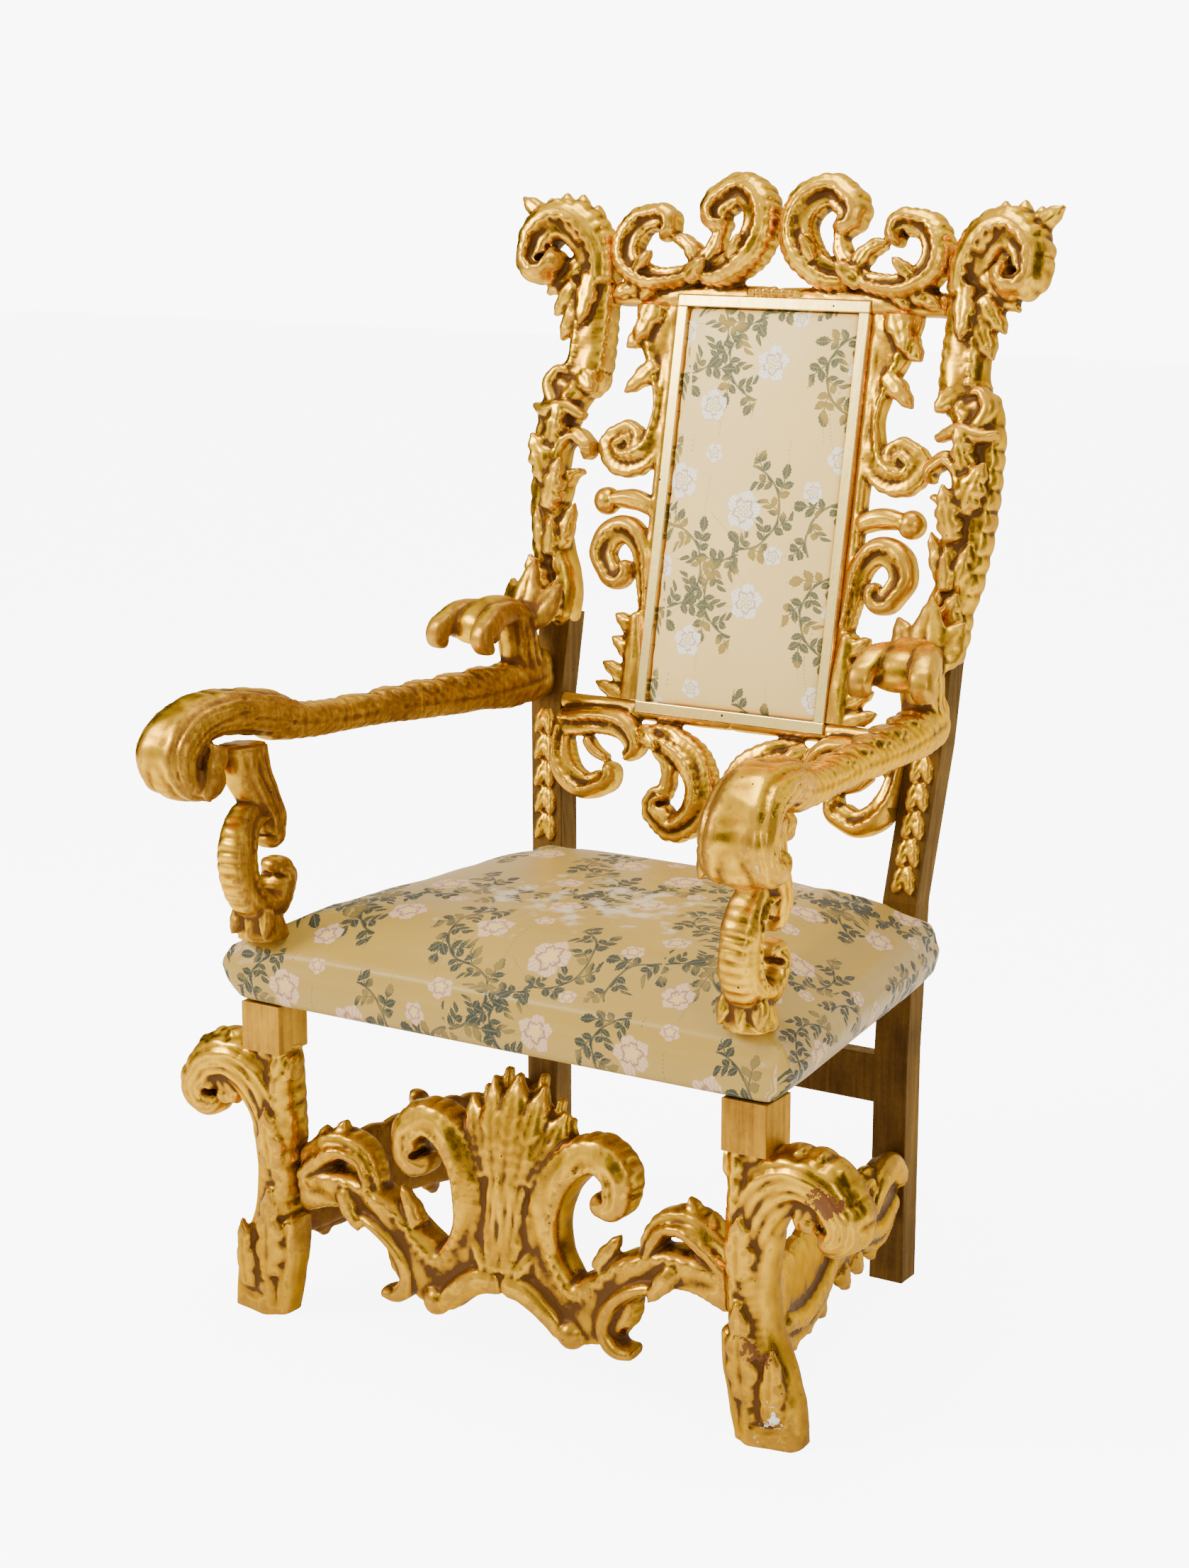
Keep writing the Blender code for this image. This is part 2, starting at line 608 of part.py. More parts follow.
def seat(group, fabric):
    """The upholstered seat: a trapezium with swelling sides, notched round the posts."""
    body = bmesh.new()
    size = (2 * SEAT_HALF_FRONT, SEAT_DEPTH, SEAT_EDGE_HEIGHT)
    bmesh.ops.create_cube(body, size=1.0, matrix=Matrix.Diagonal((*size, 1.0)))
    bmesh.ops.bevel(body, geom=body.edges[:], offset=SEAT_ROUND, segments=3, profile=.5,
                    affect="EDGES", material=-1)
    bmesh.ops.bisect_plane(body, geom=body.verts[:] + body.edges[:] + body.faces[:],
                           plane_co=(0, 0, 0), plane_no=(0, 0, 1), dist=1e-6)
    top = max(body.faces, key=lambda face: face.calc_center_median().z)
    for share in (.10, .20, .26):
        bmesh.ops.inset_region(body, faces=[top], thickness=SEAT_DEPTH / 2 * share)
    for vert in body.verts:
        u, v, w = (2 * vert.co[k] / size[k] for k in range(3))
        half = SEAT_HALF_FRONT + (SEAT_HALF_BACK - SEAT_HALF_FRONT) * (v + 1) / 2
        swell = SEAT_BULGE * (1 - SEAT_BULGE_FADE * (v + 1) / 2) * (1 - w * w) * (abs(u) > .9)
        crown = SEAT_CROWN * max(0, w) * (1 - abs(u) ** 6) * (1 - abs(v) ** 6)
        vert.co = (u * (half + swell), FRONT_Y + SEAT_DEPTH * (v + 1) / 2,
                   SEAT_UNDERSIDE + SEAT_EDGE_HEIGHT * (w + 1) / 2 + crown)
    piece = place(body, "seat", group, fabric)
    over = SEAT_TOP + SEAT_CROWN + .01
    inside, outside = post_inside(SEAT_TOP) - GAP, post_outside(over) + GAP
    reach = SEAT_DEPTH / 4
    for side in (1, -1):
        notch_y = post_front(SEAT_UNDERSIDE) - GAP + reach
        notch = prism([(((inside + outside) / 2 * side, notch_y, z), (outside - inside) / 2, reach)
                       for z in (SEAT_UNDERSIDE - .05, over)])
        join(piece, notch, "DIFFERENCE")
        foot = prism([((side * SUPPORT_X, FRONT_Y + SUPPORT_SET, z), SUPPORT_FOOT_HALF + GAP,
                       SUPPORT_FOOT_HALF + GAP) for z in (SUPPORT_BASE - GAP, over)])
        join(piece, foot, "DIFFERENCE")
    return clean(piece)


def front_leg(group, gilt):
    """Block, knee volute that rolls outward, waist and splayed foot."""
    body = bmesh.new()
    sheet = Sheet((LEG_OUTSIDE - LEG_BLOCK, FRONT_Y + LEG_DEEP / 2, 0),
                  (.001, 0, 0), (0, 0, LEG_BLOCK_FOOT / 340), (0, -1, 0))
    strand(body, sheet, [(27, 352, 0), (28, 300, 0), (28, 250, 0), (26, 200, 0), (28, 150, 0),
                         (40, 90, 0), (52, 40, 0), (57, -12, 0)],
           (.026, .030, .031, .026, .026, .034, .037, .038),
           (.027, .030, .031, .031, .031, .031, .031, .031))
    strand(body, sheet, [(4, 130, 0), (8, 84, 0), (16, 44, 0), (24, 12, 0)],
           (.012, .014, .014, .010), (.022, .022, .020))
    strand(body, sheet, [(20, 205, 0), (30, 256, 0), (52, 298, 0), (86, 316, 0),
                         (120, 308, 0), (138, 284, 0)],
           (.024, .032, .036, .030, .026, .020), (.022, .028, .031, .034, .032, .028),
           (.020, .6, -1))
    for u, v, root in ((66, 344, 46), (90, 352, 72), (114, 348, 96), (136, 334, 118)):
        leaf(body, sheet.at(root, v - 42, 0), sheet.at(u, v, .002), (0, -1, 0), .016, .020)
    leaf(body, sheet.at(106, 302, .004), sheet.at(84, 258, .004), (0, -1, 0), .020, .018)
    leaf(body, sheet.at(14, 300, .008), sheet.at(-10, 336, .004), (0, -1, 0), .014, .016)
    leaf(body, sheet.at(20, 190, .016), sheet.at(22, 262, .026), (0, -1, 0), .018, .010)
    leaf(body, sheet.at(30, 60, .016), sheet.at(20, 160, .024), (0, -1, 0), .020, .010)
    piece = carved(body, "front_leg_right", group, gilt, 400)
    top = prism([((LEG_OUTSIDE - LEG_BLOCK / 2, FRONT_Y + LEG_BLOCK / 2, z), LEG_BLOCK / 2,
                  LEG_BLOCK / 2) for z in (LEG_BLOCK_FOOT, SEAT_UNDERSIDE - GAP)])
    saw(piece, (0, 0, 0), (0, 0, -1))
    saw(piece, (0, 0, SEAT_UNDERSIDE - 2 * SEAT_ROUND), (0, 0, 1))
    join(piece, top)
    saw(piece, (LEG_INNER + GAP, 0, 0), (-1, 0, 0))
    saw(piece, (0, LEG_BACK - GAP, 0), (0, 1, 0))
    return clean(piece)


def front_stretcher(group, gilt):
    """The pierced stretcher: humps at the legs, two C-scrolls and a fan between them."""
    body = bmesh.new()
    right = Sheet((0, FRONT_Y + STRETCHER_SET, 0), (LEG_INNER / 290, 0, 0),
                  (0, 0, STRETCHER_HEIGHT / 358), (0, -1, 0))
    front = (0, -1, 0)
    for sheet, hand in ((right, 1), (right.mirrored(), -1)):
        strand(body, sheet, [(300, 150, 0), (258, 170, 0), (216, 172, 0), (180, 162, 0),
                             (152, 142, 0), (126, 106, 0), (94, 92, 0), (66, 112, 0),
                             (52, 155, 0), (50, 195, 0), (62, 238, -.004), (88, 270, -.008),
                             (118, 280, -.008), (142, 262, -.006), (143, 240, -.004)],
               (.022, .024, .024, .022, .026, .040, .040, .032, .024, .023, .023, .023, .022,
                .019, .015), (.026, .028, .028, .028, .028, .030, .030, .028, .026),
               (.016, .5, -hand))
        strand(body, sheet, [(302, 175, 0), (272, 205, 0), (238, 226, 0), (206, 220, 0),
                             (190, 196, .004), (186, 172, .008)],
               (.020, .020, .019, .016, .013, .010), (.024, .026, .028, .026, .022, .016))
        leaf(body, sheet.at(250, 220, 0), sheet.at(232, 258, -.002), front, .012, .014)
        leaf(body, sheet.at(272, 206, 0), sheet.at(262, 246, -.002), front, .010, .014)
        strand(body, sheet, [(214, 150, .006), (176, 140, .008), (146, 116, .008),
                             (134, 84, .008), (148, 60, .008), (172, 58, .006)],
               (.008, .009, .010, .011, .011, .007), (.022, .024, .022, .020))
        strand(body, sheet, [(304, 72, 0), (268, 92, 0), (232, 102, 0), (202, 92, 0),
                             (180, 68, .004)], (.026, .020, .015, .014, .009),
               (.022, .022, .022, .018))
        leaf(body, sheet.at(236, 100, 0), sheet.at(222, 74, .004), front, .012, .014)
        strand(body, sheet, [(0, 110, .012), (32, 106, .014), (62, 86, .014), (84, 62, .012)],
               (.018, .018, .016, .014), (.020, .020, .018))
        ball(body, sheet.at(92, 66, .018), .018)
        leaf(body, sheet.at(30, 120, .006), sheet.at(50, 330, -.036), front, .026, .020, .006)
        leaf(body, sheet.at(12, 150, .006), sheet.at(24, 354, -.040), front, .024, .020, .006)
        leaf(body, sheet.at(36, 200, -.010), sheet.at(68, 310, -.028), front, .024, .016)
    strand(body, right, [(0, 90, 0), (0, 160, 0), (0, 230, -.006), (0, 300, -.026), (0, 346, -.044)],
           (.044, .038, .038, .040, .026), (.024, .024, .024, .022, .012))
    piece = carved(body, "front_stretcher", group, gilt, 1000)
    for side in (1, -1):
        saw(piece, (side * (LEG_INNER - GAP), 0, 0), (side, 0, 0))
    return clean(piece)


def side_stretcher(group, gilt):
    """A board carved on its outer face, between the front and the rear leg."""
    start = Vector((LEG_OUTSIDE - LEG_BLOCK / 2, LEG_BACK, 0))
    end = Vector((POST_FOOT_OUTSIDE - POST_WIDTH / 2, POST_Y, 0))
    outward = (end - start).cross(Vector((0, 0, 1))).normalized() * -1
    outward = outward if outward.x > 0 else -outward
    sheet = Sheet(start, (end - start) / 441, (0, 0, SIDE_STRETCHER_TOP / 200), outward)
    thin = (SIDE_STRETCHER_THICK / 2,) * 2
    body = bmesh.new()
    strand(body, sheet, [(-12, 140, 0), (60, 138, 0), (150, 142, 0), (240, 140, 0),
                         (340, 130, 0), (462, 120, 0)],
           (.055, .050, .052, .056, .050, .038), thin)
    strand(body, sheet, [(10, 110, .010), (80, 96, .012), (150, 110, .012), (205, 150, .012),
                         (222, 188, .010)], (.020, .022, .022, .018, .012),
           (.012, .012, .012), (.014, .5, 1))
    strand(body, sheet, [(440, 110, .008), (370, 96, .012), (310, 110, .012), (290, 140, .012),
                         (310, 164, .012)], (.020, .020, .018, .016, .012),
           (.012, .012, .012), (.014, .5, -1))
    strand(body, sheet, [(330, 130, .010), (362, 158, .012), (402, 166, .014), (432, 148, .014)],
           (.014, .018, .020, .014), (.012, .014, .014), (.012, .4, -1))
    for u in (60, 110, 160, 250, 300, 350):
        leaf(body, sheet.at(u - 20, 100, .006), sheet.at(u, 66, .012), outward, .016, .010)
    piece = carved(body, "side_stretcher_right", group, gilt, 320)
    saw(piece, (0, LEG_BACK + GAP, 0), (0, -1, 0))
    saw(piece, (0, POST_Y - GAP, 0), (0, 1, 0))
    return clean(piece)


def back_stretcher(group, gilt):
    """The plain rail let in between the rear legs."""
    half = POST_FOOT_OUTSIDE - POST_WIDTH - GAP
    middle = POST_Y + POST_THICK / 2
    body = prism([((0, middle, z), half, BACK_STRETCHER_THICK / 2)
                  for z in (BACK_STRETCHER_LOW, BACK_STRETCHER_LOW + BACK_STRETCHER_DEEP)])
    place(body, "back_stretcher", group, gilt)


def arm(group, gilt):
    """The arm: rolled hand in front, flat bar, and a forward volute with petals at the post."""
    body = bmesh.new()
    root = Vector((ARM_ROOT_X, BACK_Y, 0))
    across = (Vector((ARM_HAND_X, BACK_Y - ARM_LENGTH, 0)) - root) / 660
    outward = Vector((-across.y, across.x, 0)).normalized()
    outward = outward if outward.x > 0 else -outward
    sheet = Sheet(root, across, (0, 0, ARM_HEIGHT / 735), outward)
    strand(body, sheet, [(-14, 726, 0), (40, 716, 0), (110, 712, 0), (200, 714, 0),
                         (290, 719, 0), (380, 722, 0), (450, 728, 0), (506, 742, .004)],
           (.036, .030, .023, .021, .019, .019, .021, .028),
           (.026, .026, .024, .022, .022, .022, .024, .030))
    strand(body, sheet, [(450, 730, 0), (506, 746, .002), (560, 754, .006), (610, 748, .008),
                         (642, 720, .010), (636, 688, .010), (610, 676, .010)],
           (.022, .026, .026, .024, .022, .020, .015),
           (.024, .030, .036, .040, .042, .042, .038), (.014, .5, 1))
    for side, reach in ((-.026, 632), (0, 640), (.028, 630)):
        leaf(body, sheet.at(600, 724, side), sheet.at(reach, 664, side * 1.35), across, .014, .014)
    strand(body, sheet, [(20, 706, 0), (36, 744, 0), (46, 780, 0), (62, 804, 0), (90, 814, 0),
                         (118, 808, 0)], (.026, .026, .022, .018, .015, .012),
           (.024, .024, .026, .032, .040, .044), (.016, .5, 1))
    for side in (-.030, .030):
        strand(body, sheet, [(80, 812, side * .6), (118, 812, side), (148, 798, side * 1.2)],
               (.014, .015, .012), (.016, .017, .015), (.013, .6, 1))
    for lean, tall, reach in ((0, 872, 8), (-.044, 842, 6), (.040, 842, 6)):
        leaf(body, sheet.at(40, 790, lean * .3), sheet.at(reach, tall, lean), across, .022, .009)
    piece = carved(body, "arm_right", group, gilt, 560)
    saw(piece, tilted(0, GAP), -BACK_OUT)
    join(piece, block(tilted(1.5 * ARM_BLOCK_TOP, 0, ARM_ROOT_X), 4 * POST_WIDTH, ARM_BLOCK_TOP,
                      -RAIL_BACK, RAIL_BACK + STILE_PROUD + GAP), "DIFFERENCE")
    seat_of_support = prism([((SUPPORT_TOP_X, FRONT_Y + SUPPORT_SET - .014, z), .036, .036)
                             for z in (ARM_UNDERSIDE - .05, ARM_UNDERSIDE + GAP)])
    join(piece, seat_of_support, "DIFFERENCE")
    return clean(piece)


def arm_support(group, gilt):
    """The S-scroll upright: flared foot, C-scroll, elbow and broad stem under the arm."""
    body = bmesh.new()
    rise = Vector((SUPPORT_TOP_X - SUPPORT_X, 0, ARM_UNDERSIDE - SUPPORT_BASE))
    sheet = Sheet((SUPPORT_X, FRONT_Y + SUPPORT_SET, SUPPORT_BASE), (0, -.001, 0),
                  rise / 232, (1, 0, 0))
    strand(body, sheet, [(16, 240, 0), (12, 206, 0), (-4, 172, 0), (-20, 144, 0),
                         (-22, 122, 0)], (.031, .028, .023, .018, .010),
           (.026, .026, .026, .024, .020), (.010, .4, -1))
    strand(body, sheet, [(-10, 150, 0), (18, 148, 0), (36, 126, 0), (42, 92, 0), (32, 58, 0),
                         (8, 38, 0), (-18, 38, 0), (-34, 56, 0)],
           (.012, .015, .017, .017, .017, .016, .015, .012),
           (.022, .025, .027, .028, .028, .028, .027, .024), (.015, .6, 1))
    strand(body, sheet, [(4, 34, 0), (2, -6, 0)], (.024, .0305), (.022, .0305), steps=3)
    piece = carved(body, "arm_support_right", group, gilt, 330)
    saw(piece, (0, 0, SUPPORT_BASE), (0, 0, -1))
    saw(piece, (0, 0, ARM_UNDERSIDE), (0, 0, 1))
    return clean(piece)


def build():
    clear_scene()
    group = collection("throne")
    gilt = finish("water gilding", (0.62, 0.38, 0.11), .38, .85)
    strip_gilt = finish("pale gilding", (0.80, 0.60, 0.28), .35, .8)
    fabric = finish("champagne brocade", (0.62, 0.54, 0.38), .6, 0.0)
    crest_rail(group, gilt)
    lower_rail(group, gilt)
    mouldings(group, strip_gilt)
    back_pad(group, fabric)
    seat(group, fabric)
    front_stretcher(group, gilt)
    back_stretcher(group, gilt)
    for make in (post, splat, front_leg, side_stretcher, arm, arm_support):
        right = make(group, gilt)
        other_side(right, right.name.replace("right", "left"), group, gilt)


build()
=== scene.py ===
# %% [markdown]
# # A carved and gilt armchair
#
# This lesson dresses a packed set of plain solids as a baroque giltwood armchair: carved,
# water-gilded wood with a padded seat and a padded back panel in a flowered brocade.
# The solids give every place and size. They come in as a fixed frame, and the pieces made
# here stand in their places.

# %% Load the frame
import math

import bmesh
import bpy
import numpy as np
from mathutils import Matrix, Vector


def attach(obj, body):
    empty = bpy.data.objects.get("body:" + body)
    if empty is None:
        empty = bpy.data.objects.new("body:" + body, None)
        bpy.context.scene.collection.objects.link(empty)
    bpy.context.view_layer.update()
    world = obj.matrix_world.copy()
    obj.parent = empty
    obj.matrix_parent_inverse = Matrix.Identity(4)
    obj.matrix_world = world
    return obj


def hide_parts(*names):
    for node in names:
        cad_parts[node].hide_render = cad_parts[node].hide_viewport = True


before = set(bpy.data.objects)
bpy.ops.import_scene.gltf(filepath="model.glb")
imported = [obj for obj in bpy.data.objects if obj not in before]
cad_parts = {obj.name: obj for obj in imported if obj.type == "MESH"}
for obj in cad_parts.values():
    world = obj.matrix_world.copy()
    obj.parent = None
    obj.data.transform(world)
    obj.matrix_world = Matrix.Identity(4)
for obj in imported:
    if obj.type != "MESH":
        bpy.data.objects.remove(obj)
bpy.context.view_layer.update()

# %% [markdown]
# ## Camera
#
# The chair's own symmetry gave the view: mirrored points on its two sides fix where the
# camera stood. It looks slightly down, from about a third of the way round between the
# front and the right-hand side. Right is +X all through this lesson, as seen from the front.
# A portrait picture is fitted by its height, so the sensor is too.

# %% Set up the camera
CAMERA_PLACE = (1.763, -2.871, 1.423)
CAMERA_TURN, CAMERA_TILT = 32.17, 12.90
FOCAL_MM, SENSOR_MM = 66.3, 36

lens = bpy.data.cameras.new("camera")
lens.lens = FOCAL_MM
lens.sensor_fit = "VERTICAL"
lens.sensor_height = SENSOR_MM
camera = bpy.data.objects.new("camera", lens)
bpy.context.scene.collection.objects.link(camera)
turn, tilt = math.radians(CAMERA_TURN), math.radians(CAMERA_TILT)
camera.location = CAMERA_PLACE
backwards = Vector((math.sin(turn) * math.cos(tilt), -math.cos(turn) * math.cos(tilt),
                    math.sin(tilt)))
camera.rotation_euler = backwards.to_track_quat("Z", "Y").to_euler()
bpy.context.scene.camera = camera
print("camera", [round(n, 3) for n in camera.location])

# %% [markdown]
# ## Floor and light
#
# Gold leaf shows mostly what it reflects. A white room and broad soft lights give it long
# pale highlights. In a room that is white all round it would look flat, so a photographer
# stands black cards beside it. Here they are seen by gloss alone and cast no shadow. The
# room is lit brighter where the camera sees it bare, as in a studio's burnt-out background.

# %% Light the studio
def soft_light(name, place, aim, size, power, colour):
    """A square area light that looks at a point."""
    lamp = bpy.data.lights.new(name, "AREA")
    lamp.size = size
    lamp.energy = power
    lamp.color = colour
    holder = bpy.data.objects.new(name, lamp)
    holder.location = place
    holder.rotation_euler = (Vector(place) - Vector(aim)).to_track_quat("Z", "Y").to_euler()
    bpy.context.scene.collection.objects.link(holder)


soft_light("key", (-2.6, -2.6, 3.0), (0, 0, .7), 1.6, 190, (1, .98, .95))
soft_light("fill", (3.2, -2.2, 2.2), (0, 0, .6), 1.2, 45, (1, .98, .96))
soft_light("top", (0, .2, 3.6), (0, 0, .5), 1.6, 60, (1, 1, 1))

world = bpy.data.worlds.new("studio")
world.use_nodes = True
bpy.context.scene.world = world
sky = world.node_tree.nodes["Background"]
sky.inputs["Color"].default_value = (1, 1, 1, 1)
ROOM_LIGHT, ROOM_SEEN = 1.25, 9.0


def burnt_out(tree, socket, lit, seen):
    """Give a strength one value for the camera and another for all that it lights."""
    paths = tree.nodes.new("ShaderNodeLightPath")
    choose = tree.nodes.new("ShaderNodeMapRange")
    choose.inputs["To Min"].default_value = lit
    choose.inputs["To Max"].default_value = seen
    tree.links.new(paths.outputs["Is Camera Ray"], choose.inputs["Value"])
    tree.links.new(choose.outputs[0], socket)


burnt_out(world.node_tree, sky.inputs["Strength"], ROOM_LIGHT, ROOM_SEEN)
print("room lit", ROOM_LIGHT, "seen", ROOM_SEEN, "and three lamps")

# %% [markdown]
# Flags and floor are flat sheets, each a one-square grid. Every mesh of this lesson becomes
# an object by the same short helper.

# %% Stand the flags and lay the floor
def put(body, name):
    """Turn a bmesh into an object of the scene."""
    mesh = bpy.data.meshes.new(name)
    body.to_mesh(mesh)
    body.free()
    piece = bpy.data.objects.new(name, mesh)
    bpy.context.scene.collection.objects.link(piece)
    return piece


def black_flag(name, place, aim, size):
    """A black card that only the gloss sees. Metal needs something dark to reflect."""
    card = bmesh.new()
    turn = (Vector(aim) - Vector(place)).to_track_quat("Z", "Y").to_matrix().to_4x4()
    bmesh.ops.create_grid(card, x_segments=1, y_segments=1, size=size,
                          matrix=Matrix.Translation(place) @ turn)
    holder = put(card, name)
    black = bpy.data.materials.new(name)
    black.use_nodes = True
    paint = black.node_tree.nodes["Principled BSDF"].inputs["Base Color"]
    paint.default_value = (.02, .015, .01, 1)
    holder.data.materials.append(black)
    holder.visible_camera = holder.visible_diffuse = holder.visible_shadow = False


black_flag("flag_right", (3.4, -.2, 1.4), (0, 0, .8), 2.6)
black_flag("flag_left", (-3.4, .6, 1.2), (0, 0, .8), 2.2)
black_flag("flag_front", (.6, -4.4, .9), (0, 0, .6), 1.7)

FLOOR_SIZE, FLOOR_DROP = 14, .0005
FLOOR_LIT, FLOOR_SEEN = .3, ROOM_SEEN - 2
plate = bmesh.new()
bmesh.ops.create_grid(plate, x_segments=1, y_segments=1, size=FLOOR_SIZE)
floor = put(plate, "floor")
floor.location.z = -FLOOR_DROP
paper = bpy.data.materials.new("white paper")
paper.use_nodes = True
surface = paper.node_tree.nodes["Principled BSDF"]
surface.inputs["Base Color"].default_value = (.93, .93, .93, 1)
surface.inputs["Roughness"].default_value = .9
surface.inputs["Emission Color"].default_value = (1, 1, 1, 1)
burnt_out(paper.node_tree, surface.inputs["Emission Strength"], FLOOR_LIT, FLOOR_SEEN)
floor.data.materials.append(paper)
print("black flags 3,", floor.name, "size", FLOOR_SIZE)

# %% [markdown]
# ## A shorthand for node arithmetic
#
# Flowers, leaves and wear are drawn by arithmetic on coordinates. A small wrapper lets
# ordinary Python signs add the Math nodes, which keeps each drawing readable.

# %% Numbers that run through a node tree
class Flow:
    """A socket in a node tree. Arithmetic on it adds Math nodes and gives a new Flow."""

    def __init__(self, tree, socket):
        self.tree, self.socket = tree, socket

    def do(self, kind, *others, clamp=False):
        """Add one Math node of this kind."""
        node = self.tree.nodes.new("ShaderNodeMath")
        node.operation = kind
        node.use_clamp = clamp
        for slot, value in zip(node.inputs, (self, *others)):
            if isinstance(value, Flow):
                self.tree.links.new(value.socket, slot)
            else:
                slot.default_value = value
        return Flow(self.tree, node.outputs[0])

    def __add__(self, other): return self.do("ADD", other)
    def __radd__(self, other): return self.do("ADD", other)
    def __sub__(self, other): return self.do("SUBTRACT", other)
    def __rsub__(self, other): return (self * -1) + other
    def __mul__(self, other): return self.do("MULTIPLY", other)
    def __rmul__(self, other): return self.do("MULTIPLY", other)
    def __truediv__(self, other): return self.do("DIVIDE", other)
    def size(self): return self.do("ABSOLUTE")
    def wrap(self, low, high): return self.do("WRAP", high, low)
    def least(self, other): return self.do("MINIMUM", other)
    def most(self, other): return self.do("MAXIMUM", other)

    def step(self, edge, soft):
        """0 below the edge, 1 above it, with a soft change between."""
        return ((self - edge) / soft + .5).do("ADD", 0.0, clamp=True)


print("arithmetic on sockets ready")

# %% [markdown]
# The same few nodes come back in every finish of the chair: noise, spots, a mix of two
# colours, a worn patch, a number stored on the mesh, and bump. Each gets a short name.

# %% Name the nodes that every finish uses
def new_finish(name, roughness, metallic):
    """An empty Principled material and its tree, shader and object coordinates."""
    made = bpy.data.materials.new(name)
    made.use_nodes = True
    tree = made.node_tree
    shader = tree.nodes["Principled BSDF"]
    shader.inputs["Roughness"].default_value = roughness
    shader.inputs["Metallic"].default_value = metallic
    place = tree.nodes.new("ShaderNodeTexCoord").outputs["Object"]
    return made, tree, shader, place


def stretched(tree, place, scale):
    """Coordinates stretched by a different amount along each axis."""
    mapping = tree.nodes.new("ShaderNodeMapping")
    mapping.inputs["Scale"].default_value = scale
    tree.links.new(place, mapping.inputs["Vector"])
    return mapping.outputs[0]


def cloudy(tree, place, scale, detail=3.0, rough=.55):
    """Noise as a Flow."""
    node = tree.nodes.new("ShaderNodeTexNoise")
    node.inputs["Scale"].default_value = scale
    node.inputs["Detail"].default_value = detail
    node.inputs["Roughness"].default_value = rough
    tree.links.new(place, node.inputs["Vector"])
    return Flow(tree, node.outputs["Fac"])


def spots(tree, place, scale, radius):
    """Small round spots scattered in space, 1 inside a spot: worm holes."""
    node = tree.nodes.new("ShaderNodeTexVoronoi")
    node.inputs["Scale"].default_value = scale
    tree.links.new(place, node.inputs["Vector"])
    return 1 - Flow(tree, node.outputs["Distance"]).step(radius, radius * .3)


def blend(tree, factor, first, second):
    """Mix two colours, each a socket or a plain colour."""
    mix = tree.nodes.new("ShaderNodeMix")
    mix.data_type = "RGBA"
    tree.links.new(factor.socket, mix.inputs["Factor"])
    for slot, colour in ((mix.inputs["A"], first), (mix.inputs["B"], second)):
        if isinstance(colour, tuple):
            slot.default_value = (*colour, 1.0)
        else:
            tree.links.new(colour, slot)
    return mix.outputs["Result"]


def patch(tree, place, centre, radius, ragged):
    """1 within a ragged distance of a point of the chair, where the finish is worn away."""
    away = tree.nodes.new("ShaderNodeVectorMath")
    away.operation = "DISTANCE"
    away.inputs[1].default_value = centre
    tree.links.new(place, away.inputs[0])
    return 1 - (Flow(tree, away.outputs["Value"]) / radius + ragged).step(.8, .12)


def named(tree, name):
    """A number stored on the mesh."""
    node = tree.nodes.new("ShaderNodeAttribute")
    node.attribute_name = name
    return Flow(tree, node.outputs["Fac"])


def raised(tree, shader, heights, distance, strength=1.0):
    """Bump from a height in metres."""
    bump = tree.nodes.new("ShaderNodeBump")
    bump.inputs["Distance"].default_value = distance
    bump.inputs["Strength"].default_value = strength
    tree.links.new(heights.socket, bump.inputs["Height"])
    tree.links.new(bump.outputs[0], shader.inputs["Normal"])


print("node shorthand ready")

# %% [markdown]
# ## Water gilding
#
# Real water gilding is gold leaf over red-brown clay over white gesso. Ridges are burnished
# bright, and their brighter colour is also a painted highlight. Hollows hold old size and
# dirt, and their darker colour is also painted shade. Rubbed ridges let the red clay
# through, and the lower parts are painted darker as shade. The carving carries three
# measured numbers for this, hollow, ridge and rear, worked out from its own shape further
# down, so dirt and painted shade lie where they would lie and not at random. The wood
# shows bare on the right leg, at the knee and shin, and gesso where its foot is chipped.

# %% Mix the gilding
KNEE, SHIN, FOOT = (.432, -.300, .298), (.346, -.298, .116), (.372, -.298, .026)
BOLE, GESSO, BARE_WOOD = (.26, .085, .020), (.80, .74, .66), (.115, .034, .009)
LOW_SHADE_GOLD, REAR_STAIN, WORM_HOLE = (.30, .135, .008), (.15, .050, .009), (.02, .01, .005)


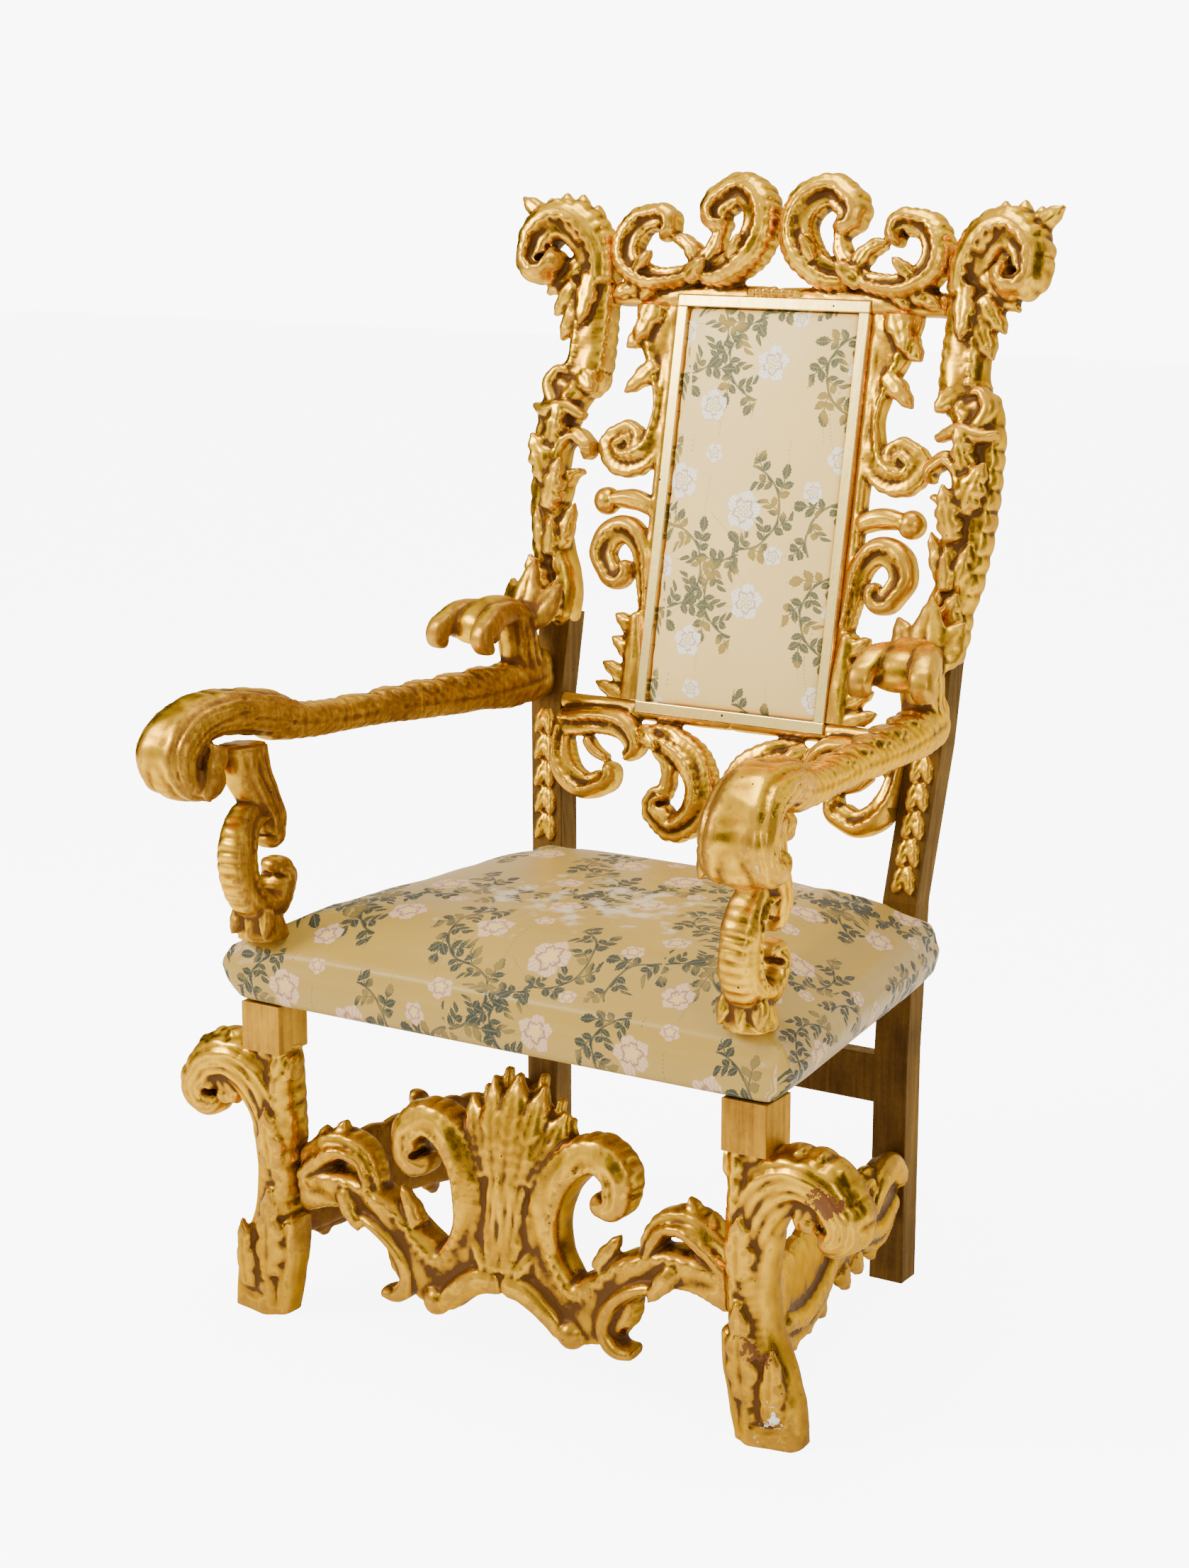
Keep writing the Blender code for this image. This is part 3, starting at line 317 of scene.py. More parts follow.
def gilding(name, burnish_and_highlight, body, dirt_and_shade, wear=.5):
    """Worn water gilding, from the colours of its burnished parts with painted highlight,
    its plain parts, and its dirty parts with painted shade.
    """
    made, tree, shader, place = new_finish(name, .33, 1.0)
    hollow, ridge, rear = (named(tree, n) for n in ("hollow", "ridge", "rear"))
    broad = cloudy(tree, place, 14, 4)
    fine = cloudy(tree, place, 90, 4, .65)
    streak = cloudy(tree, stretched(tree, place, (60, 60, 7)), 4, 3)
    worm = spots(tree, place, 52, .062) * cloudy(tree, place, 6, 1).step(.55, .06)
    # Burnish and painted highlight: ridges take the bright colour, which also stands for the
    # highlight on them.
    light = (ridge * .9 + (fine - .5) * .9 + (broad - .5) * .8).step(.42, .8)
    gold = blend(tree, light, body, burnish_and_highlight)
    red = (ridge * .8 + (fine - .5) * 1.2 + (broad - .5) * 1.6).step(.86, .22) * wear
    gold = blend(tree, red, gold, BOLE)
    # Painted shade: the gold is darker low down on the chair, towards the floor, and the dirt mask
    # grows there too.
    axes = tree.nodes.new("ShaderNodeSeparateXYZ")
    tree.links.new(place, axes.inputs[0])
    low = 1 - Flow(tree, axes.outputs[2]).step(.28, .5)
    gold = blend(tree, low * .62, gold, LOW_SHADE_GOLD)
    # Dirt and painted shade: the dirt colour goes into the hollows, where it also stands for the
    # shade there, and onto rear faces and low parts.
    grime_and_shade = (hollow * 1.3 + (fine - .5) * .9 + (broad - .5) * .7 + rear * .45
             + low * .20).step(.5, .75)
    gold = blend(tree, grime_and_shade, gold, dirt_and_shade)
    gold = blend(tree, rear * (streak.step(.5, .3) * .4 + .35), gold, REAR_STAIN)
    chipped = (ridge * .8 + (broad - .5) * 2.6 + (fine - .5) * .9).step(1.76, .1)
    torn = (fine - .5) * 4.0 + (broad - .5) * 2.4
    bare = patch(tree, place, KNEE, .018, torn).most(patch(tree, place, SHIN, .020, torn))
    chipped = chipped.most(patch(tree, place, FOOT, .021, torn))
    gold = blend(tree, bare, gold, BARE_WOOD)
    gold = blend(tree, chipped, gold, GESSO)
    gold = blend(tree, worm, gold, WORM_HOLE)
    tree.links.new(gold, shader.inputs["Base Color"])
    dull = (grime_and_shade * .55).most(chipped).most(worm).most(rear * .35).most(red * .6).most(bare)
    tree.links.new((1 - dull).socket, shader.inputs["Metallic"])
    tree.links.new((grime_and_shade * .22 + fine * .16 + rear * .10 + chipped * .4 + .18).socket,
                   shader.inputs["Roughness"])
    shader.inputs["Specular Tint"].default_value = (1, .74, .34, 1)
    shader.inputs["Specular IOR Level"].default_value = .3
    raised(tree, shader,
           fine * .35 + streak * .12 - worm * 2 - bare * 1.2 - chipped * .6, .0007, .8)
    return made


carved_gold = gilding("water gilding", (.90, .50, .020), (.46, .22, .008), (.075, .027, .005))
print("finish:", carved_gold.name)

# %% [markdown]
# ## Gilding on plain timber
#
# The square parts of the legs, posts and rails are gilt too, but nobody burnished them. They
# are flatter and browner, with brush marks down the grain and worm holes.

# %% Mix the plain gilding
def plain_gilding(name, light, dark, grain, roughness, metallic, dirty=.5):
    """Unburnished gilding brushed along the grain."""
    made, tree, shader, place = new_finish(name, roughness, metallic)
    brushed = cloudy(tree, stretched(tree, place, grain), 3, 4, .6)
    broad = cloudy(tree, place, 9, 3)
    fine = cloudy(tree, place, 160, 2)
    worm = spots(tree, place, 46, .07) * cloudy(tree, place, 7, 1).step(.52, .05)
    tone = (brushed * .8 + broad * .8 + fine * .25).step(.62 + dirty * .55, .6)
    gold = blend(tree, tone, dark, light)
    gold = blend(tree, worm, gold, (.03, .015, .008))
    tree.links.new(gold, shader.inputs["Base Color"])
    tree.links.new((fine * .12 + (1 - tone) * .22 + (roughness - .14)).socket,
                   shader.inputs["Roughness"])
    shader.inputs["Specular Tint"].default_value = (1, .78, .42, 1)
    raised(tree, shader, brushed * .4 + fine * .1 - worm * 1.6, .0006, .6)
    return made


plain_gold = plain_gilding("plain gilding", (.56, .28, .016), (.18, .070, .008),
                           (40, 40, 2.5), .42, .8)
strip_gold = plain_gilding("pale strip gilding", (1.0, .74, .22), (.62, .36, .05),
                           (30, 30, 3), .30, .95, dirty=.1)
# Painted shade: a far darker copy of the plain gilding, kept for the rear posts and rear rail
# under and behind the seat.
shaded_rear_gold = plain_gilding("shaded rear gilding", (.20, .095, .012), (.065, .027, .005),
                            (40, 40, 2.5), .46, .7, dirty=.7)
print("finishes:", plain_gold.name, strip_gold.name, shaded_rear_gold.name)

# %% [markdown]
# ## The squared drawing
#
# A carver squares up a drawing and transfers it to the wood. Each carved piece has such a
# sheet: u across and v up in squares, d forward in metres. A member is a spine on the sheet
# with a width and a thickness along it, and may end in a volute.

# %% Spines and volutes
class Sheet:
    """A squared drawing: u across and v up in squares, d forward of the sheet in metres."""

    def __init__(self, origin, across, up, out):
        self.origin, self.across = Vector(origin), Vector(across)
        self.up, self.out = Vector(up), Vector(out).normalized()

    def at(self, u, v, d=0.0):
        """The point in space of a place on the drawing."""
        return self.origin + self.across * u + self.up * v + self.out * d


def smooth_curve(points, steps=8):
    """Catmull-Rom through the points, so a few of them give a flowing spine."""
    ends = [points[0] * 2 - points[1]] + list(points) + [points[-1] * 2 - points[-2]]
    made = []
    for i in range(1, len(ends) - 2):
        before, here, there, after = ends[i - 1:i + 3]
        for step in range(steps):
            t = step / steps
            made.append(0.5 * (2 * here + (there - before) * t
                               + (2 * before - 5 * here + 4 * there - after) * t ** 2
                               + (3 * here - before - 3 * there + after) * t ** 3))
    made.append(points[-1].copy())
    return made


def curl(points, out, radius, turns, hand, rise=0.0, shrink=0.3):
    """Carry the line on into a volute that winds towards its eye."""
    heading = (points[-1] - points[-2]).normalized()
    side = out.cross(heading) * hand
    line, here = list(points), points[-1].copy()
    count = max(8, round(56 * turns))
    turn = turns * math.tau / count
    for step in range(count):
        bend = radius * (1 - (1 - shrink) * (step + 0.5) / count)
        here = here + heading * (bend * turn) + out * (rise / count)
        heading = (heading * math.cos(turn) + side * math.sin(turn)).normalized()
        side = out.cross(heading) * hand
        line.append(here.copy())
    return line


print("spines and volutes ready")

# %% [markdown]
# The spine is then walked at an even spacing, so the cuts stay the same size all along it,
# and a few numbers written for its width are eased into a smooth change.

# %% Walk a spine evenly
def unit(rows):
    """Each row cut or drawn out to a length of one."""
    return rows / np.maximum(np.linalg.norm(rows, axis=-1, keepdims=True), 1e-12)


def evenly(points, spacing):
    """The line again with points at an even spacing, and how far along each lies."""
    line = np.array([tuple(point) for point in points])
    run = np.r_[0, np.cumsum(np.linalg.norm(np.diff(line, axis=0), axis=1))]
    count = max(10, int(run[-1] / spacing))
    stops = np.linspace(0, run[-1], count)
    return np.column_stack([np.interp(stops, run, line[:, k]) for k in range(3)]), stops


def eased(profile, t):
    """Values read from evenly spaced stops, eased between them."""
    stops = np.array(profile, float)
    place = t * (len(stops) - 1)
    low = np.minimum(place.astype(int), len(stops) - 2)
    ease = place - low
    ease = ease * ease * (3 - 2 * ease)
    return stops[low] * (1 - ease) + stops[low + 1] * ease


def soft(values, width):
    """0 well below zero and 1 well above it, with a soft change between."""
    return 1 / (1 + np.exp(-np.clip(values / width, -40, 40)))


print("drawing tools ready, ease at a quarter:", eased((0, 1), np.array([.25]))[0])

# %% [markdown]
# ## One carved member
#
# A member starts as an operator-made grid. One side of the grid runs along the spine and
# the other is wrapped round the section. The carver's tools are then reliefs on the front
# of the section: cross ribs cut with a gouge, a smooth roll that laps over them with
# leaf-like tips, a raised rim, a cove, lengthwise flutes and a frilled edge. Modelling
# these by hand for fifty scrolls would take days, and a texture would not show in outline.

# %% Shape the section and the outline
SPACING = 0.0018
AROUND = 52
GRAIN = 0.0027
THIN = 0.007


def section(both):
    """Places round a section: q across, p forward, and how far the tools reach round it."""
    angle = np.linspace(0, math.tau, AROUND)
    q = np.sign(np.cos(angle)) * np.abs(np.cos(angle)) ** .85
    rise = np.sin(angle)
    rear = .85 if both else .5
    p = np.where(rise > 0, np.abs(rise) ** .9, -np.abs(rise) ** rear)
    return q, p, np.ones_like(p) if both else np.clip(p + .25, 0, 1) ** .5


def outline(t, run, wide, deep, lobes, ends):
    """Half width and thickness along a member, notched between lobes and closed at its ends."""
    half, thick = eased(wide, t), eased(deep, t)
    if lobes:
        count, notch_depth = lobes
        half = half * (1 - notch_depth * (1 - np.abs(np.sin(np.pi * count * (t + .08))) ** .6))
    for reach, distance in ((ends[0] * half[0], run), (ends[1] * half[-1], run[-1] - run)):
        share = np.clip(distance / max(reach, 1e-5), 0, 1)
        close = np.sqrt(1 - (1 - share) ** 2)
        half, thick = half * close, thick * close
    return half, thick


# %% [markdown]
# Each tool leaves its own relief. A gouge is never quite steady in the hand, so the cuts are
# not either: their spacing wanders and their depth varies along the member.

# %% Cut with each tool
def unsteady(q, run):
    """Where a cut falls along the member, and how deep it goes, as a hand would vary it."""
    run = run[:, None]
    s = run + .0016 * np.sin(run / .017) + .0009 * np.sin(run / .0063)
    return s, 1 + .35 * np.sin(run / .019 + 3 * q) * np.sin(run / .031)


def tooled(q, run, channel, ribs, grooves, veins, rim, flutes):
    """The relief, in metres, that the tools leave at each place along and across."""
    s, uneven = unsteady(q, run)
    run = run[:, None]
    relief, inside = np.zeros((len(run), AROUND)), 1
    if channel:
        hand, start, depth, pitch = channel
        border = start + .24 * (np.abs(np.sin(np.pi * s / pitch)) ** .7 - .5)
        inside = soft(hand * q - border, .03) * soft(.80 - hand * q, .045)
        belly = .75 + .5 * np.sin(np.pi * np.clip((hand * q - start) / (.8 - start), 0, 1))
        relief += .0008 - (depth + .0008) * inside * belly * uneven
    if ribs:
        pitch, depth = ribs
        cut = np.abs(np.sin(np.pi * (s / pitch + .5 * np.abs(q)))) ** .6 - .6
        relief += depth * cut * inside * uneven * soft(.8 - np.abs(q), .06)
    for groove in grooves:
        relief -= .0017 * np.exp(-((q - groove - .03 * np.sin(run / .03)) / .055) ** 2)
    if veins:
        pitch, depth = veins
        cut = np.abs(np.sin(np.pi * (s / pitch - 1.6 * np.abs(q)))) ** .7 - .6
        relief += depth * cut * (np.abs(q) > .12) - depth * 1.8 * np.exp(-(q / .14) ** 2)
    relief += rim * np.exp(-((np.abs(q) - .84) / .12) ** 2)
    if flutes:
        count, depth = flutes
        sweep = q + .10 * np.sin(run / .035)
        relief += depth * (np.abs(np.cos(np.pi * count * sweep / 2)) ** .7 - .6)
    return relief


def frilled(q, run, frill):
    """How far the edge stands out or in where it is frilled."""
    hand, pitch, depth = frill
    s, uneven = unsteady(q, run)
    edge = np.clip(hand * q, 0, 1) ** 3 if hand else np.abs(q) ** 3
    return np.sign(q) * depth * edge * uneven * (np.abs(np.sin(np.pi * s / pitch)) ** .5 - .5)


print("tools ready")

# %% [markdown]
# The member itself is a grid whose points are set along the spine and round the section,
# each pushed out or in by the relief that the tools leave there.

# %% Bend a grid along the spine
def member(body, sheet, spine, wide, deep, volute=None, lift=0.0, channel=None, ribs=None,
           grooves=(), flutes=None, frill=None, veins=None, lobes=None, rim=0.0,
           ends=(.7, .7), both=False):
    """Lay one member on the drawing. Returns the eye of its volute.

    channel (side, from, depth, pitch of its leafy border), ribs (pitch, depth), grooves as
    places across, flutes (count, depth), frill (side, pitch, depth), veins (pitch, depth),
    lobes (count, depth of notch). Sides are 1 right and -1 left of the way it runs, 0 both.
    """
    line = smooth_curve([sheet.at(*point) for point in spine])
    if volute:
        line = curl(line, sheet.out, *volute, rise=lift)
    line, run = evenly(line, SPACING)
    ahead = unit(np.gradient(line, axis=0))
    side = unit(np.cross(ahead, np.array(sheet.out)))
    front = np.cross(side, ahead)
    half, thick = outline(run / run[-1], run, wide, deep, lobes, ends)
    q, p, face = section(both)
    relief = tooled(q, run, channel, ribs, grooves, veins, rim, flutes)
    relief = relief * face * np.minimum(1, thick[:, None] / THIN)
    across = q * half[:, None] + relief * q
    if frill:
        across += frilled(q, run, frill)
    outward = p * thick[:, None] + relief * p
    places = (line[:, None, :] + side[:, None, :] * across[..., None]
              + front[:, None, :] * outward[..., None])
    made = bmesh.ops.create_grid(body, x_segments=len(run) - 1, y_segments=AROUND - 1, size=1)
    for vert, place in zip(made["verts"], places.transpose(1, 0, 2).reshape(-1, 3).tolist()):
        vert.co = place
    return Vector(line[-1])


def leaf(body, root, tip, out, half, thick, bend=0.0, lobes=3, veins=(.005, .0010)):
    """A lobed, veined leaf from root to tip, humped in the middle and lifted by bend."""
    root, tip, out = Vector(root), Vector(tip), Vector(out).normalized()
    length = (tip - root).length
    sheet = Sheet(root, (tip - root) / 4, out.cross(tip - root) / length, out)
    spine = [(0, 0, 0), (1, 0, bend * 0.5), (2, 0, bend * 0.9), (3, 0, bend), (4, 0, bend * 0.8)]
    member(body, sheet, spine, (half * .7, half, half * .95, half * .62, half * .16),
           (thick, thick, thick * .9, thick * .7, thick * .4), veins=veins,
           lobes=(lobes, .30), ends=(.5, .9))


def leaves(body, sheet, rows):
    """Leaves on one sheet, each from root to tip with its half width and thickness."""
    for root, tip, half, thick, *rest in rows:
        leaf(body, sheet.at(*root), sheet.at(*tip), sheet.out, half, thick, *rest)


def ball(body, centre, radius):
    """A turned bead."""
    bmesh.ops.create_uvsphere(body, u_segments=20, v_segments=14, radius=radius,
                              matrix=Matrix.Translation(centre))


def mirror_half(body):
    """Add the other half of a symmetric carving."""
    bmesh.ops.mirror(body, geom=body.verts[:] + body.edges[:] + body.faces[:], axis="X",
                     merge_dist=-1)


print("member tool ready, spacing", SPACING)

# %% [markdown]
# ## Gesso
#
# Before the gold goes on, a carving is brushed with many coats of gesso, which run the
# members together and soften every cut. A voxel remesh does just that: it welds the
# overlapping members into one skin. Joints to other pieces are then sawn flat.

# %% Weld, saw and measure a carving
def applied(piece):
    """Make the piece's modifiers real."""
    graph = bpy.context.evaluated_depsgraph_get()
    mesh = bpy.data.meshes.new_from_object(piece.evaluated_get(graph))
    piece.modifiers.clear()
    piece.data = mesh
    return piece


def weld(body, name, grain=GRAIN):
    """Weld a carving's members into one skin."""
    piece = put(body, name)
    gesso = piece.modifiers.new("gesso", "REMESH")
    gesso.mode = "VOXEL"
    gesso.voxel_size = grain
    return applied(piece)


def saw(piece, *cuts):
    """Cut flat at each (point, normal) and keep what lies behind the normal."""
    body = bmesh.new()
    body.from_mesh(piece.data)
    for point, normal in cuts:
        every = body.verts[:] + body.edges[:] + body.faces[:]
        bmesh.ops.bisect_plane(body, geom=every, plane_co=point, plane_no=normal,
                               clear_outer=True, dist=1e-6)
        rim = [edge for edge in body.edges if edge.is_boundary]
        bmesh.ops.holes_fill(body, edges=rim, sides=0)
    bmesh.ops.triangulate(body, faces=[face for face in body.faces if len(face.verts) > 4])
    body.to_mesh(piece.data)
    body.free()
    return piece


def keep_largest(piece):
    """Drop crumbs that a cut has left loose."""
    body = bmesh.new()
    body.from_mesh(piece.data)
    left, groups = set(body.verts), []
    while left:
        stack, group = [left.pop()], []
        while stack:
            vert = stack.pop()
            group.append(vert)
            for edge in vert.link_edges:
                other = edge.other_vert(vert)
                if other in left:
                    left.discard(other)
                    stack.append(other)
        groups.append(group)
    groups.sort(key=len)
    for group in groups[:-1]:
        bmesh.ops.delete(body, geom=group, context="VERTS")
    body.to_mesh(piece.data)
    body.free()
    return piece


print("welding and sawing ready")

# %% [markdown]
# Dirt and painted shade go into the hollows, and polish and painted highlight onto the
# ridges. Both are measured by smoothing the carving and seeing where the true surface lies
# below or above the smoothed one. Smoothing is done over neighbours with numpy, because a
# vertex loop in Python would take minutes.

# %% Measure hollows and ridges
HAND_WOBBLE = .00042
SMALL_HOLLOW, LARGE_HOLLOW = GRAIN * .22, .0042


def read_mesh(mesh):
    """Vertex places, normals and edges as arrays."""
    places = np.empty(len(mesh.vertices) * 3)
    mesh.vertices.foreach_get("co", places)
    normals = np.empty(len(mesh.vertices) * 3)
    mesh.vertex_normals.foreach_get("vector", normals)
    edges = np.empty(len(mesh.edges) * 2, int)
    mesh.edges.foreach_get("vertices", edges)
    return places.reshape(-1, 3), normals.reshape(-1, 3), edges.reshape(-1, 2)


def averaged(values, edges, rounds):
    """Each vertex's value replaced by its neighbours' mean, several times over."""
    first, second = edges[:, 0], edges[:, 1]
    number = len(values)
    ties = np.maximum(np.bincount(first, minlength=number)
                      + np.bincount(second, minlength=number), 1)
    for _ in range(rounds):
        values = np.column_stack([
            (np.bincount(first, values[second, k], number)
             + np.bincount(second, values[first, k], number)) / ties
            for k in range(values.shape[1])])
    return values


def note(mesh, name, values):
    """Store one number for each vertex under a name that a material can read."""
    layer = mesh.attributes.get(name) or mesh.attributes.new(name, "FLOAT", "POINT")
    layer.data.foreach_set("value", np.ascontiguousarray(values, np.float32))


def weather(piece, out):
    """Carve a little unevenness and write down hollow, ridge and rear for the gilding."""
    mesh = piece.data
    places, normals, edges = read_mesh(mesh)
    x, y, z = places.T
    wobble = (np.sin(x / .011 + 2 * np.sin(z / .017)) * np.sin(z / .013 + 2 * np.sin(y / .015))
              + .5 * np.sin(x / .0052 + 3 * np.sin(y / .009)) * np.sin(z / .0058))
    places = places + normals * (wobble * HAND_WOBBLE)[:, None]
    mesh.vertices.foreach_set("co", places.ravel())
    near = averaged(places, edges, 5)
    far = averaged(near, edges, 45)
    small = ((near - places) * normals).sum(1) / SMALL_HOLLOW
    large = ((far - places) * normals).sum(1) / LARGE_HOLLOW
    # The broad term spreads the hollow number over whole channels, so the painted shade read from
    # it is broad too.
    sunk = small * .6 + large * .85
    note(mesh, "hollow", np.clip(sunk, 0, 1.4))
    note(mesh, "ridge", np.clip(-sunk * .9, 0, 1.4))
    facing = normals @ np.array(Vector(out).normalized())
    note(mesh, "rear", soft(-.15 - facing, .12))
    mesh.shade_smooth()
    return piece


print("weathering ready")

# %% [markdown]
# The last helpers lay on the finish and hide the solid that the piece stands for, mirror it
# to the other side of the chair, and sink the dark eye of a volute.

# %% Gild, mirror and sink
def gild(piece, node=None, material=None):
    """Give the piece its finish and its body, and hide the solid that it stands for."""
    piece.data.materials.clear()
    piece.data.materials.append(material or carved_gold)
    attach(piece, "root")
    if node:
        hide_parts(node)
    print(piece.name, len(piece.data.polygons), "faces")
    return piece


def other_side(piece, name):
    """The same piece mirrored to the other side of the chair."""
    body = bmesh.new()
    body.from_mesh(piece.data)
    bmesh.ops.scale(body, vec=(-1, 1, 1), verts=body.verts)
    bmesh.ops.reverse_faces(body, faces=body.faces)
    return put(body, name)


def sockets(piece, *eyes):
    """Sink a round hollow at each (centre, radius, depth, direction)."""
    places, _, _ = read_mesh(piece.data)
    for centre, radius, depth, direction in eyes:
        away = np.linalg.norm(places - np.array(centre), axis=1)
        share = np.clip(1 - (away / radius) ** 2, 0, 1) ** 1.5
        places -= np.array(direction) * (share * depth)[:, None]
    piece.data.vertices.foreach_set("co", places.ravel())
    return piece


print("gesso grain", GRAIN)

# %% [markdown]
# ## Sizes shared by the pieces
#
# These are the chair's own sizes, in metres, the same as in the solids: the back leans by
# its rake, and a point of the back is given by s, how far up the slope from the panel's
# foot, and d, how far forward of the panel's face.

# %% Main sizes
FRONT_Y = -0.293
SEAT_TOP, SEAT_UNDERSIDE = 0.490, 0.399
RAKE = math.radians(11.57)
BACK_Y, BACK_FOOT = FRONT_Y + .5417, 0.6823
POST_Y, POST_THICK, POST_WIDTH = FRONT_Y + .503, .038, .046
LEG_OUTSIDE, LEG_BLOCK, LEG_INNER, LEG_DEEP = .3585, .056, .297, .062
CREST_HALF, PANEL_HALF, PANEL_LENGTH, STRIP = .238, .137, .5225, .0145
ARM_UNDERSIDE = .713
GAP = .0003
LEG_TOP, BLOCK_FOOT = SEAT_UNDERSIDE - .048, .338
SUPPORT_FOOT = .480
REAR_LEG_INNER, REAR_LEG_MIDDLE, POST_INNER = .235, .258, .252
REAR_RAIL_LOW, REAR_RAIL_HIGH, REAR_RAIL_HALF = .230, .292, .012
POST_BEND, POST_SET_BACK = .300, .014
BACK_UP = Vector((0, math.sin(RAKE), math.cos(RAKE)))
BACK_OUT = Vector((0, -math.cos(RAKE), math.sin(RAKE)))


def tilted(s, d=0.0, x=0.0):
    """A point of the sloping back."""
    return Vector((x, BACK_Y, BACK_FOOT)) + BACK_UP * s + BACK_OUT * d


def post_front(z):
    """Front face of a rear post at a height."""
    if z <= POST_BEND:
        return POST_Y
    if z <= SEAT_TOP:
        return POST_Y + POST_SET_BACK * (z - POST_BEND) / (SEAT_TOP - POST_BEND)
    if z <= BACK_FOOT:
        share = (z - SEAT_TOP) / (BACK_FOOT - SEAT_TOP)
        return POST_Y + POST_SET_BACK + (BACK_Y - POST_Y - POST_SET_BACK) * share
    return BACK_Y + (z - BACK_FOOT) * math.tan(RAKE)


def post_outside(z):
    """Outer side of a rear post at a height."""
    share = min(1.0, max(0.0, (z - SEAT_TOP) / (BACK_FOOT - SEAT_TOP)))
    return REAR_LEG_INNER + POST_WIDTH + (POST_INNER - REAR_LEG_INNER) * share


print("rake", round(math.degrees(RAKE), 2), "panel foot", BACK_FOOT)

# %% [markdown]
# ## Plain timber
#
# Square timber is a cube drawn out to its stations: its corners are moved, then its long
# edges are eased with a small bevel, as a plane would leave them.

# %% Plane the timbers
def timber(name, stations, material=None, ease=.0012):
    """A squared bar through (centre, half across, half deep) at each height."""
    body = bmesh.new()
    bmesh.ops.create_cube(body, size=2)
    cuts = len(stations) - 2
    if cuts:
        upright = [edge for edge in body.edges
                   if abs(edge.verts[0].co.z - edge.verts[1].co.z) > 1]
        bmesh.ops.subdivide_edges(body, edges=upright, cuts=cuts, use_grid_fill=True)
    for vert in body.verts:
        row = round((vert.co.z + 1) / 2 * (len(stations) - 1))
        centre, across, deep = stations[row]
        vert.co = Vector(centre) + Vector((vert.co.x * across, vert.co.y * deep, 0))
    sharp = [edge for edge in body.edges if edge.calc_face_angle(0) > 1]
    bmesh.ops.bevel(body, geom=sharp, offset=ease, segments=2, profile=.5, affect="EDGES",
                    material=-1)
    bmesh.ops.recalc_face_normals(body, faces=body.faces)
    piece = put(body, name)
    piece.data.materials.append(material or plain_gold)
    return piece


def post_stations(low, high):
    """A rear post's stations from one height to another, with its bends between."""
    rows = []
    for z in [low] + [h for h in (POST_BEND, SEAT_TOP, BACK_FOOT) if low < h < high] + [high]:
        inside, outside = post_outside(z) - POST_WIDTH, post_outside(z)
        deep = POST_THICK / 2
        rows.append((((inside + outside) / 2, post_front(z) + deep, z),
                     (outside - inside) / 2, deep))
    return rows


post_timber = timber("post_timber_right", post_stations(0, tilted(.115).z))
rear_rail = timber("back_stretcher_gilt",
                   [((0, POST_Y + POST_THICK / 2, z), REAR_LEG_INNER - GAP, REAR_RAIL_HALF)
                    for z in (REAR_RAIL_LOW, REAR_RAIL_HIGH)])
# The rear posts and rail take the darker copy, as painted shade.
gild(post_timber, material=shaded_rear_gold)
gild(other_side(post_timber, "post_timber_left"), material=shaded_rear_gold)
gild(rear_rail, "back_stretcher", shaded_rear_gold)

# %% [markdown]
# ## Cutting a seat in a carving
#
# The panel and its strips sit in a rebate cut in the rails round them, and the arm is cut
# away where it meets the post. A joiner saws and chisels such a place. Here a box is set on
# the back's slope and a Boolean takes it out, because the cut runs across many members.

# %% Make the fitting cut
def notch(piece, low, high, front=.08):
    """Cut out a box of the back's slope, given by its (x, s) corners and its front d."""
    body = bmesh.new()
    bmesh.ops.create_cube(body, size=1)
    for vert in body.verts:
        x = low[0] if vert.co.x < 0 else high[0]
        s = low[1] if vert.co.z < 0 else high[1]
        vert.co = tilted(s, front if vert.co.y < 0 else -.08, x)
    bmesh.ops.recalc_face_normals(body, faces=body.faces)
    tool = put(body, "notch")
    cut = piece.modifiers.new("cut", "BOOLEAN")
    cut.operation = "DIFFERENCE"
    cut.solver = "MANIFOLD"
    cut.object = tool
    applied(piece)
    bpy.data.objects.remove(tool, do_unlink=True)
    return piece


print("timbers planed, fitting cut ready")

# %% [markdown]
# ## The crest rail
#
# Two tall C-scrolls turn their backs to each other in the middle and two lower ones run out
# to the posts. Each is half ribbed and half a smooth roll, and the roll laps over the ribs
# in a row of leaf-like tips. Half of it is drawn, and the operator mirrors the rest.

# %% Carve the crest
RIBS = (.0066, .0012)
crest = bmesh.new()
for u, radius in ((0, .0075), (13, .006), (24, .005), (34, .004)):
    ball(crest, tilted(PANEL_LENGTH + .022, .002, u / 1000), radius)
drawing = Sheet(tilted(PANEL_LENGTH), (.001, 0, 0), BACK_UP * .001, BACK_OUT)
member(crest, drawing, [(-4, 13, -.014), (120, 14, -.014), (242, 13, -.014)], (.017,) * 3,
       (.016,) * 3)
crest_eye = member(crest, drawing, [(106, 40, 0), (70, 46, .003), (36, 74, .006),
                                    (26, 108, .004), (38, 138, 0), (66, 150, -.006),
                                    (90, 136, -.004)],
                   (.012, .020, .023, .022, .021, .020, .015),
                   (.018, .024, .026, .026, .024, .022), (.018, .62, -1),
                   channel=(1, .0, .0065, .0135), ribs=RIBS, grooves=(-.62, -.30),
                   frill=(0, .0105, .0042))
member(crest, drawing, [(84, 122, 0), (86, 98, 0), (92, 72, .002), (112, 48, .002)],
       (.008, .011, .013, .014), (.012, .014, .016), veins=(.006, .0014), lobes=(4, .25))
outer_eye = member(crest, drawing, [(112, 46, 0), (145, 35, .003), (184, 34, .004),
                                    (214, 52, .004), (220, 80, .002), (206, 106, -.002),
                                    (180, 113, 0)],
                   (.010, .013, .016, .018, .018, .016, .012),
                   (.018, .022, .024, .024, .022, .020), (.016, .62, 1),
                   channel=(-1, -.05, .0060, .0125), ribs=RIBS,
                   grooves=(.30, .62), frill=(0, .0110, .0038))
